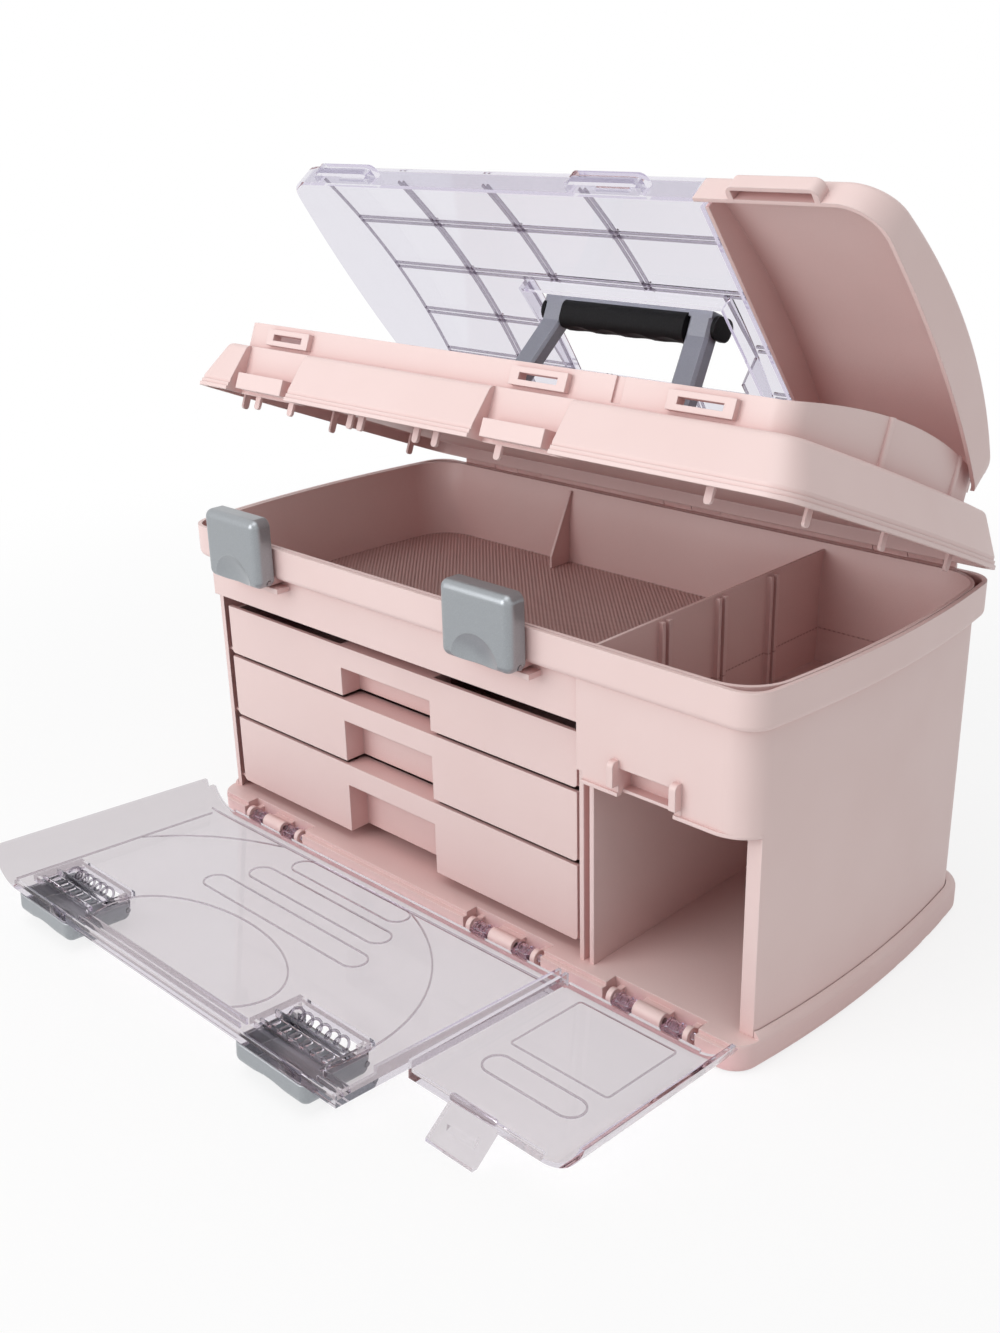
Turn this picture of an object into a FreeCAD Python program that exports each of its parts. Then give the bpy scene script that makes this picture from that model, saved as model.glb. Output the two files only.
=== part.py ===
import FreeCAD, Part
import os
import re

# A makeup case with a carrying handle: a flared base, a cabinet with three drawers and an open
# cubby behind two clear drop-down doors, a bin in its rim, and a hinged lid whose tray has a clear
# cover and a plain one. X is to the right, Y to the back, Z up; the origin is under the middle of
# the base. Everything that turns is modelled shut and then placed at its open angle.

doc = FreeCAD.newDocument("MakeupCase")
sheet = doc.addObject("Spreadsheet::Sheet", "Sizes")

sizes = {
    # outline that every level shares
    "sideRadius": 680.0,
    "wall": 2.4,
    # how far a cutting block runs past the face that it opens
    "past": 1.0,
    # rim and cabinet
    "rimHalf": 222.0,
    "rimFront": 110.0,
    "rimTop": 204.0,
    "rimCorner": 30.0,
    "edgeCorner": 16.0,
    "bodyCorner": 17.0,
    "fitGap": 0.3,
    "collarHeight": 20.0,
    "collarOut": 4.5,
    "collarRound": 4.0,
    "collarWall": 2.6,
    "headerSet": 2.4,
    "jambIn": 15.0,
    "bayRight": 101.0,
    "midWide": 9.8,
    "postClear": 0.7,
    "headerOver": 4.5,
    "stepIn": 3.8,
    "cubbyTop": 128.5,
    "postWidth": 9.0,
    "postDepth": 4.0,
    "groove": 4.0,
    # base
    "plinthIn": 1.0,
    "plinthTail": 4.0,
    "plinthTop": 22.0,
    "plinthRound": 7.0,
    "plinthFoot": 5.0,
    "floorIn": 5.0,
    "floorPlate": 2.5,
    "ribThick": 3.0,
    "rebateDepth": 3.2,
    "rebateIn": 2.2,
    # drawers
    "drawerIn": 21.4,
    "drawerClear": 4.5,
    "drawerProud": 0.8,
    "drawerTail": 12.0,
    "drawerLift": 1.1,
    "drawerLow": 48.4,
    "drawerMid": 43.4,
    "drawerHigh": 34.6,
    "drawerGap": 2.6,
    "railClear": 0.6,
    "drawerFront": 2.6,
    "drawerWall": 1.8,
    "drawerInset": 3.4,
    "notchWidth": 77.0,
    "notchDrop": 15.2,
    "notchDepth": 14.0,
    "runner": 1.8,
    "runnerReach": 5.0,
    # doors
    "doorSheet": 2.5,
    "doorProud": 0.4,
    "doorCorner": 26.0,
    "doorOver": 1.5,
    "doorUnder": 1.0,
    "doorBelow": 6.0,
    "doorSkirt": 2.2,
    "skirtReach": 10.4,
    "skirtUp": 4.0,
    "rimReach": 3.6,
    "lintelReach": 2.6,
    "sideReach": 1.4,
    "skirtClear": 1.0,
    "flangeIn": 19.0,
    "doorCornerClear": 0.6,
    "footPast": 4.0,
    "sideOver": 4.5,
    "sideAbove": 4.0,
    "tabOut": 13.0,
    "tabUp": 12.0,
    "tabTip": 3.0,
    "tabThin": 2.0,
    "tabRoot": 1.6,
    "tabLeft": 22.6,
    "tabRight": 8.0,
    "slotIn": 6.0,
    "slotUp": 5.0,
    "catchLeftX": 132.5,
    "catchRightX": 167.0,
    "catchClear": 1.0,
    "catchUp": 13.7,
    "cheekLeft": 3.8,
    "cheekRight": 4.0,
    "cheekReach": 5.0,
    "cheekBend": 0.6,
    "footProud": 0.3,
    "pocketInset": 2.5,
    "pocketTop": 10.2,
    "pocketSheet": 2.0,
    "pocketIn": 9.6,
    "barTall": 1.7,
    "barSet": 3.4,
    "lipProud": 1.4,
    "lipTall": 2.0,
    "lipDrop": 0.9,
    "doorAxisIn": 3.0,
    "doorAxisDown": 6.0,
    "doorOpen": 85.6,
    "sideOpen": 86.6,
    "doorPin": 2.0,
    "hingeWidth": 53.0,
    "pocketWidth": 60.0,
    "pocketDeep": 8.0,
    "pocketDown": 5.5,
    "hingeLug": 3.2,
    "hingeTab": 18.0,
    "leafClear": 1.5,
    "hingeRing": 2.2,
    "leftHingeIn": 68.0,
    "rightHinge": 52.0,
    "sideHingeIn": 66.0,
    # latches
    "latchWidth": 50.0,
    "latchDepth": 12.0,
    "latchTall": 42.0,
    "leverWidth": 57.0,
    "latchRound": 5.0,
    "latchWall": 2.2,
    "latchPin": 1.5,
    "scoopRadius": 17.5,
    "scoopDepth": 4.2,
    "latchEnd": 70.0,
    "rightLatch": 52.0,
    "latchOff": 2.0,
    "latchDrop": 23.0,
    "latchAxisOut": 3.6,
    "latchAxisUp": 3.0,
    "shelfOut": 0.5,
    "shelfClear": 1.0,
    "shelfPast": 2.5,
    "shelfTall": 3.0,
    "earRound": 1.1,
    "earSet": 1.0,
    "earClear": 0.7,
    "earWidth": 3.0,
    "hookReach": 2.2,
    "hookIn": 8.0,
    "leverEnd": 62.0,
    "leverClear": 0.6,
    "rightLever": 52.0,
    "leverBottom": 133.5,
    "leverAxisOut": 6.2,
    "windowIn": 2.0,
    "windowUp": 0.3,
    "windowTall": 28.4,
    "frameWall": 1.8,
    "frameReach": 3.9,
    # bin
    "binClear": 0.6,
    "binWall": 1.8,
    "binStepIn": 9.2,
    "binFloorIn": 13.0,
    "binDeepIn": 14.5,
    "binFrontIn": 7.8,
    "binDraft": 3.2,
    "binDepth": 50.5,
    "binDeepDepth": 71.0,
    "dividerOver": 0.2,
    "dividerUp": 1.5,
    "cardPitch": 48.0,
    "cardFirst": 51.0,
    "cardDrop": 5.0,
    "cardChannel": 3.0,
    "cardRib": 2.4,
    "finSide": 83.0,
    "finDrop": 2.0,
    "finReach": 18.0,
    "finTopReach": 3.0,
    "finFoot": 8.0,
    # lid
    "lidGap": 1.2,
    "lipOut": 3.4,
    "lipAhead": 3.0,
    "lipBehind": 0.5,
    "lipStep": 2.2,
    "lipSet": 0.9,
    "lipCorner": 18.0,
    "shoulderRise": 30.0,
    "shoulderIn": 9.5,
    "shoulderFrontIn": 6.0,
    "shoulderBackIn": 5.0,
    "shoulderCorner": 14.0,
    "shoulderRound": 4.0,
    "trayLedge": 10.0,
    "trayFrontLedge": 8.0,
    "trayCorner": 13.0,
    "trayRise": 45.0,
    "trayLift": 8.0,
    "rearDrop": 4.5,
    "lidAxisOut": 4.4,
    "lidAxisUp": 2.4,
    "lidOpen": 21.9,
    "lidPin": 1.6,
    "lidKnuckle": 3.9,
    "knuckleLength": 22.0,
    "knuckleGap": 0.5,
    "webShare": 0.6,
    "webTall": 12.0,
    "webDrop": 0.2,
    "lugClear": 0.6,
    "lugSide": 0.4,
    "railHalf": 190.0,
    "railReach": 3.0,
    "railSheet": 2.0,
    "railTall": 8.0,
    "railRise": 3.6,
    "lidHingeIn": 72.0,
    "recessIn": 5.0,
    "recessClear": 2.5,
    "padWidth": 42.0,
    "padSet": 1.8,
    "padLift": 2.0,
    "padRise": 12.6,
    "catchEnd": 72.0,
    "catchMid": 50.0,
    "catchWidth": 38.0,
    "catchDepth": 3.6,
    "catchLift": 32.5,
    "catchHeight": 9.5,
    "catchSlot": 3.6,
    "catchBorder": 6.0,
    "wellHalf": 87.0,
    "wellFront": 20.0,
    "wellBack": 72.0,
    "wellDown": 6.0,
    "flangeClear": 1.5,
    "armClear": 1.0,
    "bossHalf": 9.0,
    "bossUp": 5.0,
    "seamWidth": 5.8,
    "seamAway": 1.8,
    "seamDeep": 1.4,
    "archClear": 0.8,
    "ribFrontY": 21.0,
    "ribBackY": 62.0,
    "ribHalf": 2.2,
    "ribOut": 1.5,
    "ribBow": 2.8,
    "ribSink": 3.2,
    "ribBend": 0.7,
    "tabWidth": 4.4,
    "tabBend": 0.45,
    "tabReach": 7.5,
    "tabSheet": 1.8,
    "tabInset": 12.2,
    "tabSide": 16.0,
    "tabAway": 13.0,
    "tabNear": 18.0,
    "tabShort": 6.0,
    "tabLong": 15.0,
    "tabMid": 27.0,
    "tabSideRow": 73.0,
    # covers
    "coverIn": 3.0,
    "coverFrontIn": 1.0,
    "coverBackIn": 2.0,
    "coverCorner": 15.0,
    "pinkCorner": 24.0,
    "coverLift": 1.2,
    "coverRadius": 487.0,
    "coverRise": 28.5,
    "coverMiddle": 5.0,
    "coverSheet": 2.2,
    "coverRound": 3.6,
    "coverSplit": 103.8,
    "coverGap": 0.8,
    "flangeUp": 5.3,
    "rearIn": 14.0,
    "rearClear": 0.5,
    "coverAxisIn": 4.3,
    "coverAxisUp": 1.3,
    "coverOpen": 30.0,
    "coverPin": 1.4,
    "coverKnuckle": 3.2,
    "coverHingeIn": 72.0,
    "midHinge": 45.0,
    "pinkHingeIn": 64.0,
    "cutHalf": 73.0,
    "cutFront": 10.0,
    "cutBack": 66.0,
    "cutSkirt": 9.0,
    "clipWidth": 50.0,
    "clipDepth": 7.5,
    "clipTall": 8.0,
    "clipBend": 0.6,
    "nibIn": 8.0,
    "nibReach": 1.6,
    "nibHalf": 1.0,
    # handle
    "handleAxisY": 1.5,
    "handleLift": 36.0,
    "handlePin": 2.5,
    "armTopHalf": 61.5,
    "armLean": 10.0,
    "armWidth": 15.5,
    "armDepth": 11.0,
    "legTall": 52.0,
    "headTall": 14.5,
    "barFront": 13.5,
    "barThick": 4.0,
    "spineTall": 9.0,
    "spineIn": 3.0,
    "spineBack": 2.0,
    "armChamfer": 1.8,
    "gripEnd": 16.0,
    "gripDeep": 18.0,
    "gripTall": 17.0,
    "gripRound": 6.1,
    "gripDown": 1.0,
    "gripBack": 1.0,
    "capClear": 0.2,
    "capThick": 2.6,
    "fingerPitch": 22.0,
    "fingerRadius": 34.0,
    "fingerDepth": 1.0,
}

# lengths that follow from the driving ones
linked = {
    "jambFront": "rimFront-jambIn",
    "postTop": "binFloor-binWall-postClear",
    "bayTop": "binFloor+headerOver",
    "cubbyLeft": "bayRight+midWide",
    "stepEdge": "bayRight+stepIn",
    "plinthHalf": "rimHalf-plinthIn",
    "plinthFront": "rimFront",
    "plinthBack": "rimFront+plinthTail",
    "floorTop": "plinthTop-floorIn",
    "rebateTop": "floorTop-rebateIn",
    "drawerLeft": "rimHalf-drawerIn",
    "drawerRight": "bayRight-drawerClear",
    "drawerFace": "jambFront+drawerProud",
    "drawerBack": "rimFront-drawerTail",
    "drawerBottom": "plinthTop+drawerLift",
    "doorRight": "bayRight+doorOver",
    "doorBottom": "floorTop-doorUnder",
    "doorTop": "latchBottom-doorBelow",
    "sideLeft": "bayRight+sideOver",
    "sideTop": "cubbyTop+sideAbove",
    "flangeReach": "rimFront-flangeIn",
    "doorAxisY": "rimFront-doorAxisIn",
    "doorAxisZ": "floorTop-doorAxisDown",
    "pocketBack": "doorAxisY-pocketDeep",
    "pocketBottom": "doorAxisZ-pocketDown",
    "leftHinge": "rimHalf-leftHingeIn",
    "sideHinge": "rimHalf-sideHingeIn",
    "leftLatch": "rimHalf-latchEnd",
    "latchBack": "rimFront+latchOff",
    "latchBottom": "rimTop-latchDrop",
    "latchAxisY": "latchBack+latchAxisOut",
    "latchAxisZ": "latchBottom+latchAxisUp",
    "shelfReach": "latchBack+shelfOut",
    "leftLever": "rimHalf-leverEnd",
    "leverAxisZ": "leverBottom+latchAxisUp",
    "leverAxisY": "plinthFront+leverAxisOut",
    "windowWidth": "leverWidth-windowIn",
    "windowBottom": "leverBottom+windowUp",
    "windowTop": "windowBottom+windowTall",
    "binFloor": "rimTop-binDepth",
    "binDeep": "rimTop-binDeepDepth",
    "binDivider": "cubbyLeft+dividerOver",
    "cardTop": "rimTop-cardDrop",
    "finTop": "rimTop-finDrop",
    "lipHalf": "rimHalf+lipOut",
    "lipFront": "rimFront+lipAhead",
    "lipBack": "rimFront+lipBehind",
    "shoulderTop": "rimTop+shoulderRise",
    "shoulderHalf": "rimHalf-shoulderIn",
    "shoulderFront": "rimFront-shoulderFrontIn",
    "shoulderBack": "rimFront-shoulderBackIn",
    "trayHalf": "shoulderHalf-trayLedge",
    "trayFront": "shoulderFront-trayFrontLedge",
    "trayBack": "shoulderBack-trayLedge",
    "trayTop": "rimTop+trayRise",
    "trayFloor": "rimTop+trayLift",
    "rearTop": "trayTop-rearDrop",
    "lidAxisY": "rimFront+lidAxisOut",
    "lidAxisZ": "rimTop+lidAxisUp",
    "lidHinge": "rimHalf-lidHingeIn",
    "recessBack": "trayFront+recessIn",
    "padTop": "rimTop+padRise",
    "catchLeft": "rimHalf-catchEnd",
    "catchRight": "rimHalf-catchEnd",
    "catchBottom": "rimTop+catchLift",
    "catchTop": "catchBottom+catchHeight",
    "coverHalf": "shoulderHalf-coverIn",
    "coverFront": "shoulderFront-coverFrontIn",
    "coverBack": "shoulderBack-coverBackIn",
    "coverBottom": "shoulderTop+coverLift",
    "coverTop": "shoulderTop+coverRise",
    "flangeBottom": "coverBottom+flangeUp",
    "rearCut": "coverBack-rearIn",
    "rearBottom": "trayTop+rearClear",
    "coverAxisY": "coverBack-coverAxisIn",
    "coverAxisZ": "trayTop+coverAxisUp",
    "coverHinge": "rimHalf-coverHingeIn",
    "pinkHinge": "rimHalf-pinkHingeIn",
    "handleAxisZ": "rimTop+handleLift",
    "bendZ": "handleAxisZ+legTall",
    "barTop": "bendZ+headTall",
    "armFootHalf": "armTopHalf+armLean",
    "gripHalf": "armTopHalf-gripEnd",
}

for row, (alias, value) in enumerate(sizes.items(), start=1):
    sheet.set(f"A{row}", alias)
    sheet.set(f"B{row}", str(value))
    sheet.setAlias(f"B{row}", alias)
doc.recompute()

xAxis = FreeCAD.Vector(1, 0, 0)
yAxis = FreeCAD.Vector(0, 1, 0)
zAxis = FreeCAD.Vector(0, 0, 1)
tiny = 1e-4


def spelled(text, wording):
    """An expression with linked lengths written out and each driving one put in the given words."""
    def swap(word):
        name = word[0]
        if name in linked:
            return f"({spelled(linked[name], wording)})"
        return wording(name) if name in sizes else name
    return re.sub(r"[A-Za-z]+", swap, text)


def cells(text):
    return spelled(text, lambda name: "Sizes." + name)


def num(text):
    """What an expression comes to now, for the shapes that are worked out in this file."""
    return FreeCAD.Units.Quantity(spelled(text, lambda name: f"({sheet.get(name)})")).Value


def bind(item, **expressions):
    for prop, text in expressions.items():
        item.setExpression(prop.replace("_", "."), cells(text))


def place(item, x, y, z):
    bind(item, Placement_Base_x=x, Placement_Base_y=y, Placement_Base_z=z)


def block(name, x, y, z):
    """A box between two planes along each axis, each plane an expression."""
    item = doc.addObject("Part::Box", name)
    bind(item, Length=f"({x[1]})-({x[0]})", Width=f"({y[1]})-({y[0]})", Height=f"({z[1]})-({z[0]})")
    place(item, x[0], y[0], z[0])
    return item


def rod(name, axis, radius, start, length):
    """A cylinder from a point along an axis."""
    item = doc.addObject("Part::Cylinder", name)
    bind(item, Radius=radius, Height=length)
    item.Placement.Rotation = FreeCAD.Rotation(zAxis, axis)
    place(item, *start)
    return item


def rodX(name, radius, x, y, z):
    return rod(name, xAxis, radius, (x[0], y, z), f"({x[1]})-({x[0]})")


def ball(name, radius, x, y, z):
    item = doc.addObject("Part::Sphere", name)
    bind(item, Radius=radius)
    place(item, x, y, z)
    return item


def fuse(name, *items):
    item = doc.addObject("Part::MultiFuse", name)
    item.Shapes = list(items)
    item.Refine = True
    return item


def common(name, *items):
    item = doc.addObject("Part::MultiCommon", name)
    item.Shapes = list(items)
    return item


def cut(name, base, *tools):
    item = doc.addObject("Part::Cut", name)
    item.Base = base
    item.Tool = tools[0] if len(tools) == 1 else fuse(name + "Tools", *tools)
    item.Refine = True
    return item


def rounded(name, base, radius, wanted):
    """Fillet the edges of a base for which wanted(edge) is true."""
    doc.recompute()
    size = num(radius)
    item = doc.addObject("Part::Fillet", name)
    item.Base = base
    item.Edges = [(i, size, size) for i, edge in enumerate(base.Shape.Edges, start=1) if wanted(edge)]
    return item


def box(edge):
    return edge.BoundBox


def upright(edge):
    return box(edge).XLength < tiny and box(edge).YLength < tiny


def levelAt(z):
    height = num(z)
    return lambda edge: box(edge).ZLength < tiny and abs(box(edge).ZMin - height) < tiny


def along(axis, minimum=0.0):
    """True for straight edges that run along one axis."""
    def test(edge):
        spans = (box(edge).XLength, box(edge).YLength, box(edge).ZLength)
        others = [span for i, span in enumerate(spans) if i != axis]
        return max(others) < tiny and spans[axis] > minimum
    return test


def bowed(name, half, front, back, z, corner):
    """A prism with flat front and back, sides that bow outwards, and round corners."""
    slab = block(name + "Slab", (f"-({half})", half), (f"-({front})", back), z)
    height = f"({z[1]})-({z[0]})"
    right = rod(name + "Right", zAxis, "sideRadius", (f"({half})-sideRadius", "0", z[0]), height)
    left = rod(name + "Left", zAxis, "sideRadius", (f"sideRadius-({half})", "0", z[0]), height)
    return rounded(name, common(name + "Sharp", slab, right, left), corner, upright)


def ring(half, front, back, corner, z):
    """The outline of a bowed prism as a wire that always starts at the same corner."""
    half, front, back, corner, z = (num(text) for text in (half, front, back, corner, z))
    radius = num("sideRadius")
    arcs = []
    for sideX, sideY, reach in ((1, -1, front), (1, 1, back), (-1, 1, back), (-1, -1, front)):
        up = reach - corner
        out = half - radius + ((radius - corner) ** 2 - up ** 2) ** 0.5
        centre = FreeCAD.Vector(sideX * out, sideY * up, z)
        toSide = (centre - FreeCAD.Vector(sideX * (half - radius), 0, z)).normalize()
        middle = (toSide + FreeCAD.Vector(0, sideY, 0)).normalize()
        ends = [centre + FreeCAD.Vector(0, sideY, 0) * corner, centre + toSide * corner]
        ends = ends if sideX * sideY < 0 else ends[::-1]
        arcs.append(Part.Arc(ends[0], centre + middle * corner, ends[1]).toShape())
    edges = []
    for i, arc in enumerate(arcs):
        start, end = arc.lastVertex().Point, arcs[(i + 1) % 4].firstVertex().Point
        edges.append(arc)
        if i % 2:
            edges.append(Part.makeLine(start, end))
        else:
            bulge = FreeCAD.Vector(half if i == 0 else -half, 0, z)
            edges.append(Part.Arc(start, bulge, end).toShape())
    return Part.Wire(edges)


def loft(name, lower, upper):
    """A solid between two outlines, each given as the arguments of ring."""
    item = doc.addObject("Part::Feature", name)
    item.Shape = Part.makeLoft([ring(*lower), ring(*upper)], True, True)
    return item


def mirrored(name, item):
    other = doc.addObject("Part::Mirroring", name)
    other.Source = item
    other.Normal = xAxis
    other.Base = FreeCAD.Vector(0, 0, 0)
    return other


def turned(point, angle):
    """The placement that turns a shape about an axis along X through a point (y, z)."""
    centre = FreeCAD.Vector(0, num(point[0]), num(point[1]))
    return FreeCAD.Placement(FreeCAD.Vector(0, 0, 0), FreeCAD.Rotation(xAxis, num(angle)), centre)


nodes = {}


def node(name, item, *turns):
    """Name a finished sub-part and turn it to its place, the innermost hinge first."""
    holder = doc.addObject("Part::Compound", item.Name + "Placed")
    holder.Links = [item]
    doc.recompute()
    spot = holder.Placement
    for turn in turns:
        spot = turn.multiply(spot)
    holder.Placement = spot
    holder.Label = name
    nodes[name] = holder


lidTurn = turned(("lidAxisY", "lidAxisZ"), "-lidOpen")
coverTurn = turned(("coverAxisY", "coverAxisZ"), "-coverOpen")
doorTurn = turned(("-doorAxisY", "doorAxisZ"), "doorOpen")
sideTurn = turned(("-doorAxisY", "doorAxisZ"), "sideOpen")

hinges = {"LeftDoor": "-leftHinge", "RightDoor": "rightHinge", "SideDoor": "sideHinge"}


# ---- base -------------------------------------------------------------------------------------

def basePlinth():
    outer = bowed("PlinthOuter", "plinthHalf", "plinthFront", "plinthBack", ("0", "plinthTop"),
                  "edgeCorner")
    soft = rounded("PlinthSoft", rounded("PlinthFoot", outer, "plinthFoot", levelAt("0")),
                   "plinthRound", levelAt("plinthTop"))
    inset = "plinthFoot+wall"
    under = bowed("PlinthUnder", f"plinthHalf-{inset}", f"plinthFront-{inset}", f"plinthBack-{inset}",
                  ("-past", "floorTop-floorPlate"), f"edgeCorner-{inset}")
    seat = bowed("PlinthSeat", "rimHalf-collarOut+fitGap", "rimFront-collarOut+fitGap",
                 "rimFront-collarOut+fitGap",
                 ("floorTop", "plinthTop+past"), "bodyCorner")
    front = block("PlinthFront", ("-plinthHalf", "plinthHalf"), ("-plinthFront-past", "-jambFront"),
                  ("floorTop", "plinthTop+past"))
    rebate = block("PlinthRebate", ("-plinthHalf", "plinthHalf"),
                   ("-plinthFront-past", "rebateDepth-plinthFront"), ("rebateTop", "plinthTop+past"))
    shell = cut("PlinthShell", soft, under)
    boxes, pockets, clips = [], [], []
    for name, x in hinges.items():
        half = "pocketWidth/2"
        boxes.append(block(name + "Box", (f"{x}-{half}-wall", f"{x}+{half}+wall"),
                           ("wall/2-plinthFront", "wall-pocketBack"),
                           ("pocketBottom-wall", "floorTop-wall")))
        pockets.append(block(name + "Pocket", (f"{x}-{half}", f"{x}+{half}"),
                             ("-plinthFront-past", "-pocketBack"), ("pocketBottom", "floorTop+past")))
        clips += hingeClips(name, x)
    ribs = [
        block("RibAlong", ("plinthFoot-plinthHalf", "plinthHalf-plinthFoot"),
              ("-ribThick/2", "ribThick/2"), ("0", "floorTop-past")),
        block("RibAcross", ("-ribThick/2", "ribThick/2"),
              ("plinthFoot-plinthFront", "plinthBack-plinthFoot"), ("0", "floorTop-past")),
    ]
    body = cut("PlinthBody", fuse("PlinthBoxed", shell, *boxes, *ribs), seat, front, rebate, *pockets)
    node("base_plinth", fuse("Plinth", body, *clips))


def hingeClips(name, x):
    """Two end lugs and a wide middle tab that carry a door's hinge pin."""
    spans = {
        "LugLeft": (f"{x}-hingeWidth/2", f"{x}-hingeWidth/2+hingeLug"),
        "Tab": (f"{x}-hingeTab/2", f"{x}+hingeTab/2"),
        "LugRight": (f"{x}+hingeWidth/2-hingeLug", f"{x}+hingeWidth/2"),
    }
    clips = []
    for part, span in spans.items():
        full = name + part
        ring = rodX(full + "Ring", "doorPin+fitGap+hingeRing", span, "-doorAxisY", "doorAxisZ")
        web = block(full + "Web", span, ("-doorAxisY", "wall/4-pocketBack"),
                    ("doorAxisZ-hingeRing", "doorAxisZ+hingeRing"))
        bore = rodX(full + "Bore", "doorPin+fitGap", (f"{span[0]}-past", f"{span[1]}+past"),
                    "-doorAxisY", "doorAxisZ")
        clips.append(cut(full, fuse(full + "Solid", ring, web), bore))
    return clips


# ---- cabinet ----------------------------------------------------------------------------------

def cabinetShell():
    half, front = "rimHalf-collarOut", "rimFront-collarOut"
    collarZ = "rimTop-collarHeight"
    body = bowed("BodyOuter", half, front, front, ("floorTop", f"{collarZ}+past"), "bodyCorner")
    collar = bowed("CollarOuter", "rimHalf", "rimFront", "rimFront", (collarZ, "rimTop"), "edgeCorner")
    band = rounded("Collar", collar, "collarRound", levelAt(collarZ))
    inner = bowed("BodyInner", f"{half}-wall", f"{front}-wall-headerSet", f"{front}-wall",
                  ("floorTop-past", "rimTop"), "bodyCorner-wall")
    top = bowed("CollarInner", "rimHalf-collarWall", "rimFront-collarWall", "rimFront-collarWall",
                (f"{collarZ}+collarWall", "rimTop+past"), "edgeCorner-collarWall")
    wide = ("-rimHalf", "rimHalf")
    header = block("HeaderSet", ("-rimHalf", "stepEdge"), ("-rimFront", f"headerSet-({front})"),
                   ("floorTop-past", collarZ))
    bay = block("BayMouth", ("-rimHalf", "stepEdge"), ("-rimFront", "-jambFront"),
                ("floorTop-past", "bayTop"))
    cubby = block("CubbyMouth", ("stepEdge-past", "rimHalf"), ("-rimFront", "-jambFront"),
                  ("floorTop-past", "cubbyTop"))
    shell = cut("ShellOpen", fuse("ShellOuter", body, band), inner, top, header, bay, cubby)
    inside = common("Inside", body, fuse("InsideParts", *posts(), *railBars()))
    opened = cut("ShellCut", shell, skirtNotch())
    added = catchCheeks() + rearLugs() + rearRail() + latchMounts()
    whole = fuse("ShellWhole", opened, inside, cubbyLip(), *added)
    node("cabinet_shell",
         cut("Shell", whole, *(catchRooms() + earBores() + rearBores() + postGroove())))


def posts():
    """The wall between drawers and cubby, and the corner post."""
    front, back = "-jambFront", "rimFront-collarOut-wall/2"
    return [
        block("MidWallLeft", ("bayRight", "bayRight+wall"), (front, back), ("floorTop", "postTop")),
        block("MidWallRight", ("cubbyLeft-wall", "cubbyLeft"), (front, back), ("floorTop", "postTop")),
        block("MidPost", ("bayRight", "cubbyLeft"), ("-jambFront-postDepth", "postDepth-jambFront"),
              ("floorTop", "postTop")),
        block("CornerPost", ("rimHalf-collarOut-wall-postWidth-postDepth",
                             "rimHalf-collarOut-wall-postDepth"),
              (front, "postDepth-jambFront"), ("floorTop", "cubbyTop+wall")),
    ]


def railBars():
    """The rails that the drawers slide on."""
    parts = []
    level = "drawerBottom"
    for name, tall in (("Low", "drawerLow"), ("Mid", "drawerMid"), ("High", "drawerHigh")):
        z = (f"{level}+drawerInset-railClear-runner", f"{level}+drawerInset-railClear")
        deep = ("2-jambFront", "rimFront-collarOut-wall/2")
        parts.append(block("RailLeft" + name, ("-rimHalf", "runnerReach-drawerLeft"), deep, z))
        parts.append(block("RailRight" + name, ("drawerRight-runnerReach", "bayRight+wall/2"), deep, z))
        level = f"{level}+{tall}"
    return parts


def postGroove():
    """A slot down the middle post for the edges of the two doors."""
    return [block("PostGroove", ("(bayRight+cubbyLeft)/2-groove/2", "(bayRight+cubbyLeft)/2+groove/2"),
                  ("-rimFront", "past-jambFront"), ("floorTop-past", "cubbyTop"))]


def catchCheeks():
    """Two cheeks on the front panel and a box behind it, for the side door's snap tab."""
    parts = []
    face = "collarOut-rimFront"
    for name, x in (("Left", ("catchLeftX-cheekLeft", "catchLeftX")),
                    ("Right", ("catchRightX", "catchRightX+cheekRight"))):
        cheek = block("Cheek" + name, x, (f"{face}-cheekReach", f"{face}+wall"),
                      ("sideTop+catchClear", "sideTop+catchClear+catchUp"))
        parts.append(rounded("CheekSoft" + name, cheek, "cheekReach*cheekBend", topFront))
        parts.append(block("CheekFoot" + name, x, (f"{face}-footProud", f"{face}+wall"),
                           ("cubbyTop-lipDrop", "sideTop+catchClear+past")))
    parts.append(block("PocketBox", ("catchLeftX-pocketInset", "catchRightX+pocketInset"),
                       (f"{face}+wall/2", f"{face}+pocketIn+pocketSheet"),
                       ("cubbyTop", "sideTop+pocketTop+pocketInset")))
    return parts


def topFront(edge):
    """True for the edge along X at the top of a cheek's outer face."""
    return (along(0)(edge) and box(edge).YMax < num("collarOut-rimFront-cheekReach/2")
            and box(edge).ZMin > num("sideTop+cheekReach"))


def cubbyLip():
    """A low bead along the lower edge of the side panel, round its corner."""
    half, front = "rimHalf-collarOut", "rimFront-collarOut"
    z = ("cubbyTop-lipDrop", "cubbyTop-lipDrop+lipTall")
    outer = bowed("LipOuter", f"{half}+lipProud", f"{front}+lipProud", front, z, "doorCorner-doorSheet")
    inner = bowed("LipInner", f"{half}-wall", f"{front}-wall", f"{front}-wall",
                  ("cubbyTop-wall", "sideTop"), "bodyCorner-wall")
    keep = block("LipKeep", ("sideLeft+doorSkirt+past", "rimHalf"), ("-rimFront", "-jambFront"), z)
    return common("CubbyLip", cut("LipRing", outer, inner), keep)


def skirtNotch():
    """Room for the side door's long edge at the corner of the front panel."""
    return block("SkirtNotch", ("stepEdge-past", "sideLeft+doorSkirt+past"),
                 ("-rimFront", "-jambFront"),
                 ("cubbyTop-past", "sideTop+catchClear"))


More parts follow.
